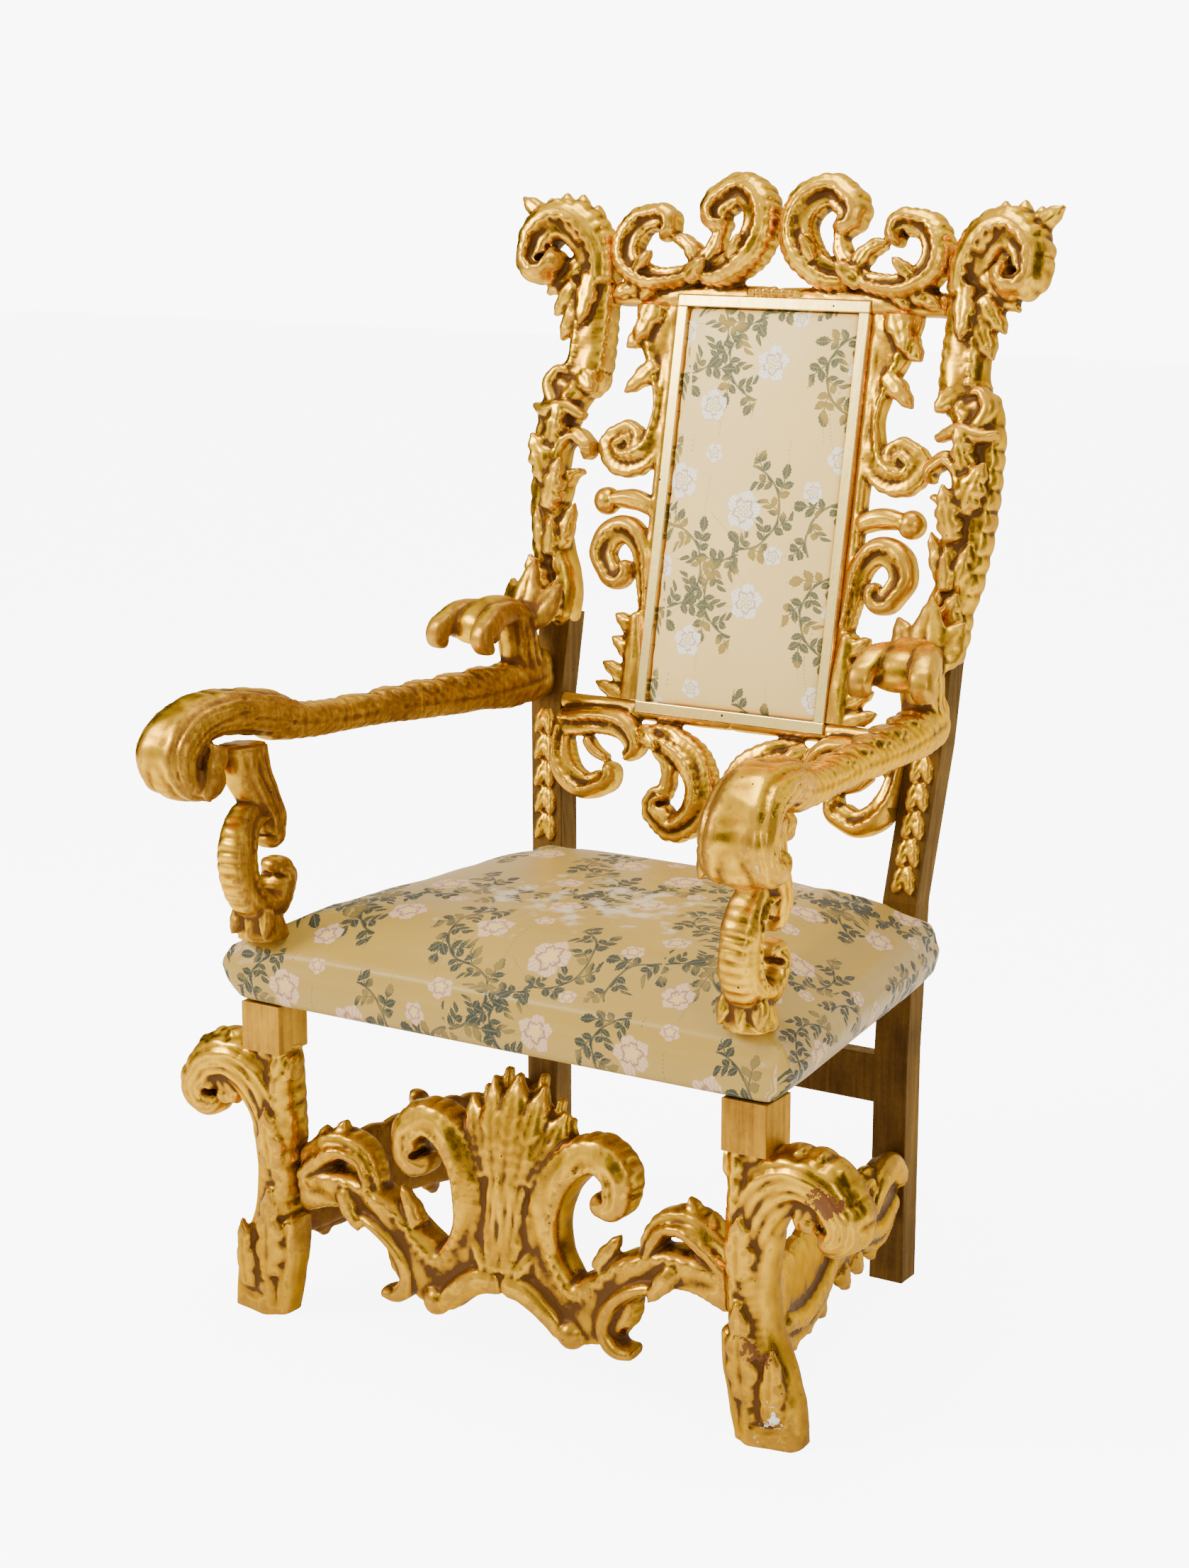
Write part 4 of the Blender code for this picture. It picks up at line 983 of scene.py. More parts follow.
member(crest, drawing, [(112, 48, .002), (122, 70, .002), (137, 82, .002), (152, 84, 0)],
       (.011, .013, .011, .007), (.014, .016, .014), veins=(.0055, .0014), lobes=(3, .25))
leaves(crest, drawing,
       [((185, 34, .002), (234, 8, .006), .015, .014),
        ((170, 30, .002), (192, 4, .006), .012, .014),
        ((124, 34, .006), (92, 58, .024), .014, .01, .004),
        ((32, 96, .016), (8, 118, .02), .008, .008, .002),
        ((196, 44, .014), (170, 66, .024), .01, .01, .004),
        ((60, 60, .018), (42, 92, .028), .009, .009, .003)])
mirror_half(crest)
crest_rail = weld(crest, "crest_carving", GRAIN * .9)
notch(crest_rail, (-PANEL_HALF - GAP, -GAP), (PANEL_HALF + GAP, PANEL_LENGTH + STRIP + GAP))
saw(crest_rail, (tilted(PANEL_LENGTH + GAP), -BACK_UP), ((CREST_HALF - GAP, 0, 0), (1, 0, 0)),
    ((GAP - CREST_HALF, 0, 0), (-1, 0, 0)))
for eye in (crest_eye, outer_eye):
    for side in (1, -1):
        sockets(crest_rail, ((eye.x * side, eye.y, eye.z), .011, .009, tuple(BACK_OUT)))
gild(weather(keep_largest(crest_rail), BACK_OUT), "crest_rail")

# %% [markdown]
# ## The lower back rail
#
# Below the panel hang two more C-scrolls and two outer loops, smaller than the crest's and
# carved by the same rules, so the same member tool draws them.

# %% Carve the lower rail
lower = bmesh.new()
drawing = Sheet(tilted(0), (POST_INNER / 250, 0, 0), BACK_UP * .001, BACK_OUT)
member(lower, drawing, [(-4, 4, -.014), (120, 4, -.014), (256, 4, -.014)], (.014,) * 3,
       (.015,) * 3)
eyes = [member(lower, drawing, [(112, -24, -.002), (76, -32, 0), (42, -52, .003),
                                (24, -86, .003), (32, -122, 0), (60, -142, -.002),
                                (84, -128, 0)],
               (.012, .019, .021, .019, .018, .017, .013),
               (.017, .022, .024, .024, .022, .020), (.016, .62, 1),
               channel=(1, .0, .0055, .013), ribs=RIBS, grooves=(-.6, -.3),
               frill=(0, .0105, .0038))]
member(lower, drawing, [(84, -112, 0), (76, -88, 0), (78, -62, 0), (100, -36, 0)],
       (.007, .011, .011, .012), (.012, .014, .015), veins=(.0055, .0014), lobes=(4, .25))
member(lower, drawing, [(250, -22, -.004), (222, -22, 0), (184, -16, .002), (148, -20, .002),
                        (128, -42, .002), (140, -62, 0)],
       (.016, .018, .017, .018, .015, .008), (.018, .020, .020, .018),
       channel=(-1, -.1, .0050, .012), ribs=RIBS, frill=(-1, .010, .0025))
eyes.append(member(lower, drawing, [(244, -26, -.004), (240, -62, 0), (222, -92, .002),
                                    (196, -104, 0), (172, -96, 0)],
                   (.014, .017, .017, .016, .013), (.018, .022, .022, .020), (.014, .5, -1),
                   channel=(1, .0, .0050, .012), ribs=RIBS, frill=(1, .010, .003)))
member(lower, drawing, [(168, -66, 0), (190, -56, -.002), (206, -40, -.004)],
       (.006, .008, .008), (.010, .012), veins=(.005, .001))
leaf(lower, drawing.at(120, -20, .004), drawing.at(88, -44, .018), BACK_OUT, .014, .010, .004)
mirror_half(lower)
lower_rail = weld(lower, "lower_rail_carving", GRAIN * .95)
notch(lower_rail, (-PANEL_HALF - GAP, -GAP), (PANEL_HALF + GAP, .06))
lower_cuts = [(tilted(STRIP - GAP), BACK_UP)]
for side in (1, -1):
    lower_cuts.append(((side * (REAR_LEG_INNER - GAP), 0, SEAT_TOP),
                       Vector(((BACK_FOOT - SEAT_TOP) * side, 0, REAR_LEG_INNER - POST_INNER))
                       .normalized()))
    lower_cuts.append(((side * (POST_INNER - GAP), 0, 0), (side, 0, 0)))
saw(lower_rail, *lower_cuts)
for eye in eyes:
    for side in (1, -1):
        sockets(lower_rail, ((eye.x * side, eye.y, eye.z), .009, .007, tuple(BACK_OUT)))
gild(weather(keep_largest(lower_rail), BACK_OUT), "lower_back_rail")

# %% [markdown]
# ## The pierced splats
#
# Between the panel and each post runs a pierced strip: a scroll that opens downwards under
# a hanging leaf, a turned spool with a ball, a second scroll, and a pleated leaf at the foot.

# %% Carve a splat and mirror it
def twin(piece, node):
    """Gild a right-hand piece and add its left-hand twin."""
    gild(piece, node + "_right")
    gild(other_side(piece, piece.name.replace("right", "left")), node + "_left")


splat = bmesh.new()
drawing = Sheet(tilted(0, 0, PANEL_HALF), (.001, 0, 0), BACK_UP * .001, BACK_OUT)
thick = (.015, .016, .016)
member(splat, drawing, [(6, -20, -.016), (7, 140, -.016), (8, 270, -.016), (8, 400, -.016),
                        (8, 570, -.016)], (.010, .009, .008, .010, .011), (.013,) * 3,
       rim=.001)
eyes = [member(splat, drawing, [(34, 556, -.014), (32, 500, -.012), (26, 460, -.014),
                                (18, 420, -.014), (16, 380, -.014), (24, 342, -.012),
                                (46, 322, -.010), (72, 322, -.010), (84, 342, -.010),
                                (68, 356, -.010)],
               (.034, .034, .026, .016, .011, .015, .019, .018, .014, .011), thick,
               (.014, .8, 1), channel=(1, -.45, .0045, .015), ribs=RIBS, frill=(1, .012, .0040))]
leaves(splat, drawing,
       [((40, 500, -.01), (74, 466, -.004), .017, .012),
        ((26, 450, -.01), (70, 408, -.004), .015, .012),
        ((30, 540, -.002), (56, 474, .004), .02, .01)])
member(splat, drawing, [(10, 262, -.014), (40, 272, -.012), (76, 271, -.012)],
       (.012, .014, .010), thick, flutes=(3, .0016))
ball(splat, drawing.at(83, 268, -.012), .0185)
eyes.append(member(splat, drawing, [(8, 130, -.014), (14, 170, -.014), (20, 206, -.012),
                                    (42, 232, -.010), (70, 226, -.010), (80, 200, -.010),
                                    (66, 176, -.010)],
                   (.008, .011, .014, .018, .018, .016, .013), thick, (.014, .7, -1),
                   channel=(1, -.1, .0045, .012), ribs=RIBS, frill=(1, .010, .003)))
member(splat, drawing, [(12, -10, -.012), (14, 60, -.012), (16, 130, -.012)],
       (.020, .018, .010), thick, flutes=(4, .0012))
for u, v in ((48, 124), (50, 94), (60, 60), (68, 34), (74, 10)):
    leaf(splat, drawing.at(14, v - 22, -.012), drawing.at(u, v, -.004), BACK_OUT, .014, .012)
splat_right = saw(weld(splat, "splat_right"), (tilted(PANEL_LENGTH - GAP), BACK_UP),
                  (tilted(STRIP + GAP), -BACK_UP), ((PANEL_HALF + GAP, 0, 0), (-1, 0, 0)),
                  ((CREST_HALF - GAP, 0, 0), (1, 0, 0)))
for eye in eyes:
    sockets(splat_right, (tuple(eye), .008, .006, tuple(BACK_OUT)))
twin(weather(keep_largest(splat_right), BACK_OUT), "back_splat")

# %% [markdown]
# ## The carved posts and their ears
#
# Above the arm each post is carved through and through: an S-stem with a leaf-wrapped knot,
# a C-scroll, a shell rim, and on top the ear, a wide scroll rolled over to a hollow volute
# under a scalloped crest. The member tool draws the stems, and lobed leaves add the rest.

# %% Carve a post and its ear
stile = bmesh.new()
drawing = Sheet(tilted(0, 0, CREST_HALF), (.148 / 152, 0, 0), BACK_UP * .001, BACK_OUT)
member(stile, drawing, [(30, 566, -.010), (30, 500, -.010), (32, 440, -.010), (48, 410, -.008)],
       (.028, .028, .029, .034), (.026, .026, .028, .028), channel=(1, -.55, .0045, .020),
       ribs=RIBS, frill=(1, .016, .0045))
member(stile, drawing, [(44, 430, -.006), (60, 394, -.004), (69, 350, -.004), (71, 300, -.004),
                        (68, 254, -.006), (58, 206, -.008), (44, 160, -.010), (38, 96, -.012)],
       (.034, .028, .024, .022, .023, .026, .030, .026),
       (.028, .028, .026, .026, .027, .027, .026, .024), channel=(-1, -.35, .0050, .021),
       ribs=(.0085, .0009), grooves=(.2, .55), frill=(-1, .024, .0046))
leaves(stile, drawing,
       [((56, 286, .014), (88, 348, .022), .021, .012, .005, 4),
        ((54, 250, .016), (36, 318, .026), .018, .012, .005, 4),
        ((64, 330, .012), (46, 388, .024), .017, .012, .005, 4),
        ((50, 130, .012), (72, 190, .022), .019, .012, .005, 4),
        ((40, 104, .012), (24, 160, .022), .016, .012, .005, 4)])
eyes = [member(stile, drawing, [(64, 260, 0), (58, 300, .004), (50, 334, .006), (30, 350, .006),
                                (12, 340, .006)], (.012, .014, .012, .010, .008),
               (.020, .022, .020, .018), (.011, .5, 1), channel=(1, -.1, .003, .010),
               ribs=(.0055, .0009))]
member(stile, drawing, [(50, 222, .002), (46, 262, .004), (32, 294, .006), (12, 304, .006)],
       (.012, .014, .010, .005), (.018, .018, .012), veins=(.006, .0014), lobes=(4, .2))
leaves(stile, drawing,
       [((40, 200, .002), (18, 262, .01), .013, .012),
        ((60, 196, .004), (76, 250, .014), .013, .012),
        ((48, 190, .01), (46, 240, .022), .012, .01),
        ((30, 430, .004), (6, 404, .014), .016, .012)])
member(stile, drawing, [(14, 372, .010), (44, 384, .018), (74, 378, .016), (96, 384, .006)],
       (.006, .009, .009, .006), (.012, .014, .012), rim=.0008, lobes=(6, .2))
eyes.append(member(stile, drawing, [(62, 380, .010), (78, 412, .010), (70, 428, .010)],
                   (.012, .010, .006), (.014, .012, .010), (.010, .5, 1)))
ear_eye = member(stile, drawing, [(26, 540, -.008), (30, 584, -.002), (54, 618, .008),
                                  (86, 626, .014), (112, 606, .018), (117, 582, .018)],
                 (.026, .028, .027, .024, .020, .017), (.026, .028, .030, .032, .032, .028),
                 (.019, .75, -1), lift=.010, channel=(1, .05, .0075, .016),
                 ribs=RIBS, grooves=(-.20, -.50, -.75), frill=(0, .0130, .0050))
for u, v in ((16, 622), (38, 650), (64, 664), (90, 666), (114, 658)):
    leaf(stile, drawing.at(u * .9 + 8, v - 46, -.004), drawing.at(u, v, -.002), BACK_OUT, .016,
         .014, lobes=2)
leaves(stile, drawing,
       [((92, 616, .004), (150, 656, .01), .017, .015, .004),
        ((40, 600, .018), (86, 652, .03), .014, .01, .004),
        ((50, 574, .0), (102, 530, .004), .019, .016),
        ((40, 540, .0), (72, 470, .002), .019, .016),
        ((52, 548, .004), (86, 502, .004), .015, .016),
        ((30, 560, .01), (34, 490, .022), .016, .01)])
post_right = saw(weld(stile, "post_carving_right"), ((CREST_HALF + GAP, 0, 0), (-1, 0, 0)),
                 (tilted(.100), -BACK_UP))
for eye, radius in ((ear_eye, .012), (eyes[0], .008)):
    sockets(post_right, (tuple(eye), radius, radius * .8, tuple(BACK_OUT)))
twin(weather(keep_largest(post_right), BACK_OUT), "back_post")

# %% [markdown]
# Below the arm the square post keeps a little leaf carving on its front face, just above
# the seat.

# %% Carve the leaves on the post's foot
sprig = bmesh.new()
for step in range(5):
    z = BACK_FOOT - .01 - step * (BACK_FOOT - SEAT_TOP - .02) / 5
    middle = post_outside(z) - POST_WIDTH / 2
    for lean in (-1, 1):
        tip_z = z - .034
        leaf(sprig, (middle, post_front(z) + .007, z),
             (middle + lean * .012, post_front(tip_z) - .004, tip_z), (0, -1, 0), .0115, .008)
sprig_right = weld(sprig, "post_leaves_right", GRAIN * .8)
gild(weather(sprig_right, (0, -1, 0)))
gild(other_side(sprig_right, "post_leaves_left"))

# %% [markdown]
# ## The front legs
#
# The block that takes the seat rail is left square. Below it the leg swells into a knee
# that rolls outward in a volute, under a scalloped fan with flutes that sweep into the
# roll, then narrows and splays into the foot.

# %% Carve a front leg
leg = bmesh.new()
drawing = Sheet((LEG_OUTSIDE - LEG_BLOCK, FRONT_Y + LEG_DEEP / 2, 0), (.001, 0, 0),
                (0, 0, .001), (0, -1, 0))
member(leg, drawing, [(27, 352, 0), (28, 300, 0), (28, 250, 0), (26, 200, 0), (28, 150, 0),
                      (40, 90, 0), (52, 40, 0), (57, -40, 0)],
       (.026, .030, .031, .026, .026, .034, .037, .038),
       (.027, .030, .031, .031, .031, .031, .031, .031), channel=(-1, -.45, .0045, .022),
       ribs=(.010, .0010), frill=(1, .020, .0030), ends=(.3, .3))
member(leg, drawing, [(4, 130, 0), (8, 84, 0), (16, 44, 0), (24, -16, 0)],
       (.012, .014, .014, .010), (.022, .022, .020), flutes=(3, .0016), ends=(.6, .2))
knee_eye = member(leg, drawing, [(20, 205, 0), (30, 256, 0), (52, 298, 0), (86, 316, 0),
                                 (120, 308, 0), (138, 284, 0)],
                  (.024, .032, .036, .030, .026, .020), (.022, .028, .031, .034, .032, .028),
                  (.020, .6, -1), flutes=(5, .0036), frill=(-1, .018, .005))
for u, v, root in ((44, 338, 34), (66, 348, 46), (90, 354, 72), (114, 350, 96), (138, 336, 118)):
    leaf(leg, drawing.at(root, v - 44, 0), drawing.at(u, v, .004), (0, -1, 0), .017, .022,
         lobes=2)
leaves(leg, drawing,
       [((106, 302, .004), (84, 256, .008), .02, .018),
        ((14, 300, .008), (-10, 336, .004), .014, .016),
        ((20, 190, .02), (24, 268, .032), .02, .01),
        ((30, 50, .02), (22, 168, .03), .022, .01, .0, 4),
        ((62, 30, .02), (66, 120, .028), .016, .01)])
ball(leg, drawing.at(100, 268, .012), .012)
leg_right = saw(weld(leg, "leg_right"), ((0, 0, 0), (0, 0, -1)),
                ((0, 0, LEG_TOP), (0, 0, 1)),
                ((LEG_INNER + GAP, 0, 0), (-1, 0, 0)),
                ((0, FRONT_Y + LEG_DEEP - GAP, 0), (0, 1, 0)))
sockets(leg_right, (tuple(knee_eye), .012, .010, (0, -1, 0)))
twin(weather(keep_largest(leg_right), (0, -1, 0)), "front_leg")
block_right = timber("leg_block_right",
                     [((LEG_OUTSIDE - LEG_BLOCK / 2, FRONT_Y + LEG_BLOCK / 2, z),
                       LEG_BLOCK / 2, LEG_BLOCK / 2) for z in (BLOCK_FOOT, SEAT_UNDERSIDE - GAP)])
gild(block_right, material=plain_gold)
gild(other_side(block_right, "leg_block_left"), material=plain_gold)

# %% [markdown]
# ## The front stretcher
#
# The stretcher is the chair's richest piece: a long S-scroll from each leg humps over a
# rolled leaf, dips, and rises into a C that holds the middle fan. The fan leans back, so
# its spine is drawn with a negative d towards the tip.

# %% Carve the front stretcher
front = (0, -1, 0)
stretcher = bmesh.new()
drawing = Sheet((0, FRONT_Y + .045, 0), (LEG_INNER / 290, 0, 0), (0, 0, .001), front)
head_eye = member(stretcher, drawing,
                  [(304, 150, 0), (258, 170, 0), (216, 172, 0), (180, 162, 0), (152, 142, 0),
                   (126, 106, 0), (94, 92, 0), (66, 112, 0), (52, 155, 0), (50, 195, 0),
                   (62, 238, -.004), (88, 270, -.008), (118, 280, -.008), (142, 262, -.006),
                   (143, 240, -.004)],
                  (.022, .024, .024, .022, .026, .040, .040, .032, .024, .023, .023, .023,
                   .022, .019, .015),
                  (.026, .028, .028, .028, .028, .030, .030, .028, .026), (.016, .6, -1),
                  channel=(-1, -.55, .0045, .016), ribs=(.0056, .0012), frill=(-1, .011, .0035))
member(stretcher, drawing, [(302, 175, 0), (272, 205, 0), (238, 226, 0), (206, 220, 0),
                            (190, 196, .004), (186, 172, .008)],
       (.020, .020, .019, .016, .013, .010), (.024, .026, .028, .026, .022, .016),
       channel=(1, .0, .0060, .014), ribs=(.0056, .0010), frill=(1, .012, .003))
leaves(stretcher, drawing,
       [((250, 220, 0), (232, 258, -.002), .013, .014),
        ((272, 206, 0), (262, 246, -.002), .011, .014)])
member(stretcher, drawing, [(214, 150, .006), (176, 140, .008), (146, 116, .008),
                            (134, 84, .008), (148, 60, .008), (172, 58, .006)],
       (.008, .009, .010, .011, .011, .007), (.022, .024, .022, .020), rim=.0008)
member(stretcher, drawing, [(304, 72, 0), (268, 92, 0), (232, 102, 0), (202, 92, 0),
                            (180, 68, .004)], (.026, .020, .015, .014, .009),
       (.022, .022, .022, .018), veins=(.0065, .0016), lobes=(5, .22))
leaf(stretcher, drawing.at(236, 100, 0), drawing.at(222, 74, .004), front, .012, .014)
member(stretcher, drawing, [(-2, 110, .012), (32, 106, .014), (62, 86, .014), (84, 62, .012)],
       (.018, .018, .016, .014), (.020, .020, .018), flutes=(4, .0016))
ball(stretcher, drawing.at(92, 66, .018), .018)
leaves(stretcher, drawing,
       [((30, 120, .006), (50, 330, -.036), .026, .02, .006, 6),
        ((12, 150, .006), (24, 354, -.04), .024, .02, .006, 6),
        ((36, 200, -.01), (68, 310, -.028), .024, .016, .0, 4)])
for u, v in ((14, 300), (38, 262), (66, 196)):
    leaf(stretcher, drawing.at(u * .3, 120, .020), drawing.at(u, v, .012 - v / 9000), front,
         .010, .012, .004, lobes=2)
for u, v in ((62, 268), (96, 292), (130, 288)):
    leaf(stretcher, drawing.at(u + 4, v - 30, -.006), drawing.at(u - 8, v + 8, -.004), front,
         .013, .012, lobes=2)
leaves(stretcher, drawing,
       [((120, 150, .01), (150, 196, .006), .012, .012),
        ((226, 176, .018), (196, 132, .026), .013, .01, .003)])
mirror_half(stretcher)
member(stretcher, drawing, [(0, 90, 0), (0, 160, 0), (0, 230, -.006), (0, 290, -.022),
                            (0, 330, -.036)],
       (.042, .034, .038, .050, .044), (.024, .024, .024, .020, .010), flutes=(7, .0046))
for u, v, half in ((-64, 318, .026), (-34, 346, .024), (34, 346, .024), (64, 318, .026),
                   (0, 354, .030)):
    leaf(stretcher, drawing.at(u * .4, 226, .004), drawing.at(u, v, -.028), front, half, .014,
         .008, lobes=2, veins=(.012, .0009))
stretcher_front = saw(weld(stretcher, "stretcher_carving", GRAIN * 1.12),
                      ((LEG_INNER - GAP, 0, 0), (1, 0, 0)), ((GAP - LEG_INNER, 0, 0), (-1, 0, 0)))
for side in (1, -1):
    sockets(stretcher_front, ((head_eye.x * side, head_eye.y, head_eye.z), .010, .008, front))
gild(weather(keep_largest(stretcher_front), front), "front_stretcher")

# %% [markdown]
# ## The side stretchers
#
# Each is a board carved on its outer face only. Its inner face shows the red-brown ground.

# %% Carve a side stretcher
start = Vector((LEG_OUTSIDE - LEG_BLOCK / 2, FRONT_Y + LEG_DEEP, 0))
end = Vector((REAR_LEG_MIDDLE, POST_Y, 0))
outward = (end - start).cross(Vector((0, 0, -1))).normalized()
outward = outward if outward.x > 0 else -outward
SIDE_SQUARES = 441
drawing = Sheet(start, (end - start) / SIDE_SQUARES, (0, 0, .001), outward)
board = bmesh.new()
member(board, drawing, [(-30, 140, 0), (60, 138, 0), (150, 142, 0), (240, 140, 0),
                        (340, 130, 0), (480, 120, 0)],
       (.055, .050, .052, .056, .050, .038), (.015,) * 2, frill=(-1, .045, .006), ends=(.2, .2))
member(board, drawing, [(10, 110, .010), (80, 96, .012), (150, 110, .012), (205, 150, .012),
                        (222, 188, .010)], (.020, .022, .022, .018, .012), (.012,) * 3,
       (.014, .5, 1), channel=(1, .0, .004, .012), ribs=RIBS)
member(board, drawing, [(440, 110, .008), (370, 96, .012), (310, 110, .012), (290, 140, .012),
                        (310, 164, .012)], (.020, .020, .018, .016, .012), (.012,) * 3,
       (.014, .5, -1), channel=(-1, .0, .004, .012), ribs=RIBS)
member(board, drawing, [(330, 130, .010), (362, 158, .012), (402, 166, .014), (432, 148, .014)],
       (.014, .018, .020, .014), (.012, .014, .014), (.012, .4, -1), ribs=(.006, .0013))
for u in (60, 110, 160, 250, 300, 350):
    leaf(board, drawing.at(u - 20, 100, .006), drawing.at(u, 66, .012), outward, .016, .010)
side_right = saw(weld(board, "side_stretcher_carving_right", GRAIN * 1.15),
                 ((0, FRONT_Y + LEG_DEEP + GAP, 0), (0, -1, 0)), ((0, POST_Y - GAP, 0), (0, 1, 0)))
weather(keep_largest(side_right), outward)
twin(side_right, "side_stretcher")

# %% [markdown]
# ## The arms
#
# An arm is a bar that swells into a rolled hand, with long flutes that sweep round the
# curl and a fringe of rolled lobes under it. At the post it rises into a bow-shaped
# volute with three rounded petals behind.

# %% Carve an arm
arm = bmesh.new()
ARM_ROOT_X, ARM_HAND_X, ARM_LENGTH, ARM_SQUARES = .284, .368, .660, 660
root = Vector((ARM_ROOT_X, BACK_Y, 0))
along = (Vector((ARM_HAND_X, BACK_Y - ARM_LENGTH, 0)) - root) / ARM_SQUARES
outward = Vector((-along.y, along.x, 0)).normalized()
drawing = Sheet(root, along, (0, 0, .001), outward)
member(arm, drawing, [(-14, 726, 0), (40, 716, 0), (110, 712, 0), (200, 714, 0),
                      (290, 719, 0), (380, 722, 0), (450, 728, 0), (506, 742, .004)],
       (.036, .030, .023, .021, .019, .019, .021, .028),
       (.026, .026, .024, .022, .022, .022, .024, .030), veins=(.018, .0016), flutes=(3, .0016),
       rim=.0014, both=True)
for reach in range(70, 460, 58):
    leaf(arm, drawing.at(reach, 727, 0), drawing.at(reach + 76, 737, 0), (0, 0, 1), .023, .009,
         .003, lobes=4)
hand_eye = member(arm, drawing, [(450, 730, 0), (506, 746, .002), (560, 754, .006),
                                 (610, 748, .008), (642, 720, .010), (636, 688, .010),
                                 (610, 676, .010)],
                  (.022, .026, .026, .024, .022, .020, .015),
                  (.024, .030, .036, .040, .042, .042, .038), (.014, .6, 1),
                  flutes=(7, .0056), frill=(0, .034, .0018), both=True)
for side, reach in ((-.030, 628), (-.012, 636), (.010, 640), (.030, 630)):
    leaf(arm, drawing.at(600, 726, side), drawing.at(reach, 664, side * 1.3), along, .013, .013,
         lobes=2)
bow_eye = member(arm, drawing, [(20, 706, 0), (36, 744, 0), (46, 780, 0), (62, 804, 0),
                                (90, 814, 0), (118, 808, 0)],
                 (.026, .026, .022, .018, .015, .012), (.024, .024, .026, .032, .040, .044),
                 (.016, .55, 1), flutes=(4, .0048), both=True)
for side in (-.030, .030):
    member(arm, drawing, [(80, 812, side * .6), (118, 812, side), (148, 798, side * 1.2)],
           (.014, .015, .012), (.016, .017, .015), (.013, .6, 1), rim=.001, both=True)
for lean, tall, reach in ((0, 872, 8), (-.044, 842, 6), (.040, 842, 6)):
    leaf(arm, drawing.at(40, 790, lean * .3), drawing.at(reach, tall, lean), along, .023, .010,
         lobes=1)
arm_right = weld(arm, "arm_carving_right", GRAIN * 1.08)
saw(arm_right, (tilted(0, GAP), -BACK_OUT))
notch(arm_right, (.19, .115), (.38, .230), .0225)
for eye, radius in ((hand_eye, .012), (bow_eye, .010)):
    for side in (1, -1):
        sockets(arm_right, (tuple(eye + outward * (side * .036)), radius, .008,
                            tuple(outward * side)))
twin(weather(keep_largest(arm_right), outward), "arm")

# %% [markdown]
# ## The arm supports
#
# Each support is an S-scroll: a flared leaf foot on the seat's corner, a C, an elbow and a
# broad stem under the arm. Its ribbed sides face outward, so its sheet is turned sideways.

# %% Carve an arm support
support = bmesh.new()
SUPPORT_X, SUPPORT_LEAN, SUPPORT_SQUARES = .332, .014, 232
drawing = Sheet((SUPPORT_X, FRONT_Y + .015, SUPPORT_FOOT), (0, -.001, 0),
                Vector((SUPPORT_LEAN, 0, ARM_UNDERSIDE - SUPPORT_FOOT)) / SUPPORT_SQUARES,
                (1, 0, 0))
member(support, drawing, [(16, 250, 0), (12, 206, 0), (-4, 172, 0), (-20, 144, 0),
                          (-22, 122, 0)], (.031, .028, .023, .018, .010),
       (.026, .026, .026, .024, .020), (.010, .4, -1), flutes=(4, .0042), both=True)
support_eye = member(support, drawing, [(-10, 150, 0), (18, 148, 0), (36, 126, 0), (42, 92, 0),
                                        (32, 58, 0), (8, 38, 0), (-18, 38, 0), (-34, 56, 0)],
                     (.012, .015, .017, .017, .017, .016, .015, .012),
                     (.022, .025, .027, .028, .028, .028, .027, .024), (.015, .6, 1),
                     channel=(1, -.5, .0045, .014), ribs=(.0062, .0011),
                     frill=(0, .012, .0035), both=True)
member(support, drawing, [(4, 34, 0), (2, -16, 0)], (.024, .0305), (.022, .0305), both=True,
       flutes=(3, .002), ends=(.4, .2))
for side in (-1, 1):
    for lean in (-.018, .0, .018):
        leaf(support, (SUPPORT_X + lean, FRONT_Y - .002, SUPPORT_FOOT + .040),
             (SUPPORT_X + lean * 1.4, FRONT_Y - .016, SUPPORT_FOOT + .004), front, .010, .008,
             lobes=1)
support_right = saw(weld(support, "arm_support_carving_right", GRAIN * .9),
                    ((0, 0, SUPPORT_FOOT), (0, 0, -1)), ((0, 0, ARM_UNDERSIDE), (0, 0, 1)))
for side in (1, -1):
    sockets(support_right, (tuple(support_eye + Vector((side * .026, 0, 0))), .010, .007,
                            (side, 0, 0)))
twin(weather(keep_largest(support_right), (1, 0, 0)), "arm_support")

# %% [markdown]
# ## The panel's strips
#
# Four flat strips, butt-jointed, frame the upholstered panel. A cube set on the back's
# slope with its long edges eased gives each.

# %% Set the strips round the panel
def strip(name, low, high):
    """A flat strip on the back's slope between (x, s) corners."""
    body = bmesh.new()
    bmesh.ops.create_cube(body, size=1)
    for vert in body.verts:
        x = low[0] if vert.co.x < 0 else high[0]
        s = low[1] if vert.co.z < 0 else high[1]
        vert.co = tilted(s, .004 if vert.co.y < 0 else -.030, x)
    bmesh.ops.recalc_face_normals(body, faces=body.faces)
    bmesh.ops.bevel(body, geom=body.edges[:], offset=.0012, segments=3, profile=.5,
                    affect="EDGES", material=-1)
    piece = put(body, name)
    gild(piece, name.replace("strip", "panel_moulding"), strip_gold)


strip("strip_top", (-PANEL_HALF, PANEL_LENGTH), (PANEL_HALF, PANEL_LENGTH + STRIP))
strip("strip_bottom", (-PANEL_HALF, 0), (PANEL_HALF, STRIP))
for side, word in ((-1, "left"), (1, "right")):
    edges = sorted((side * PANEL_HALF, side * (PANEL_HALF - STRIP)))
    strip("strip_" + word, (edges[0], STRIP + GAP), (edges[1], PANEL_LENGTH - GAP))

# %% [markdown]
# ## The brocade
#
# The cloth is a champagne satin with woven sprays: roses, and stems with paired toothed
# leaves. A picture of the cloth would be simplest, but here the weave is drawn by folding
# coordinates: folding across the stem and along it turns one leaf into a whole spray.

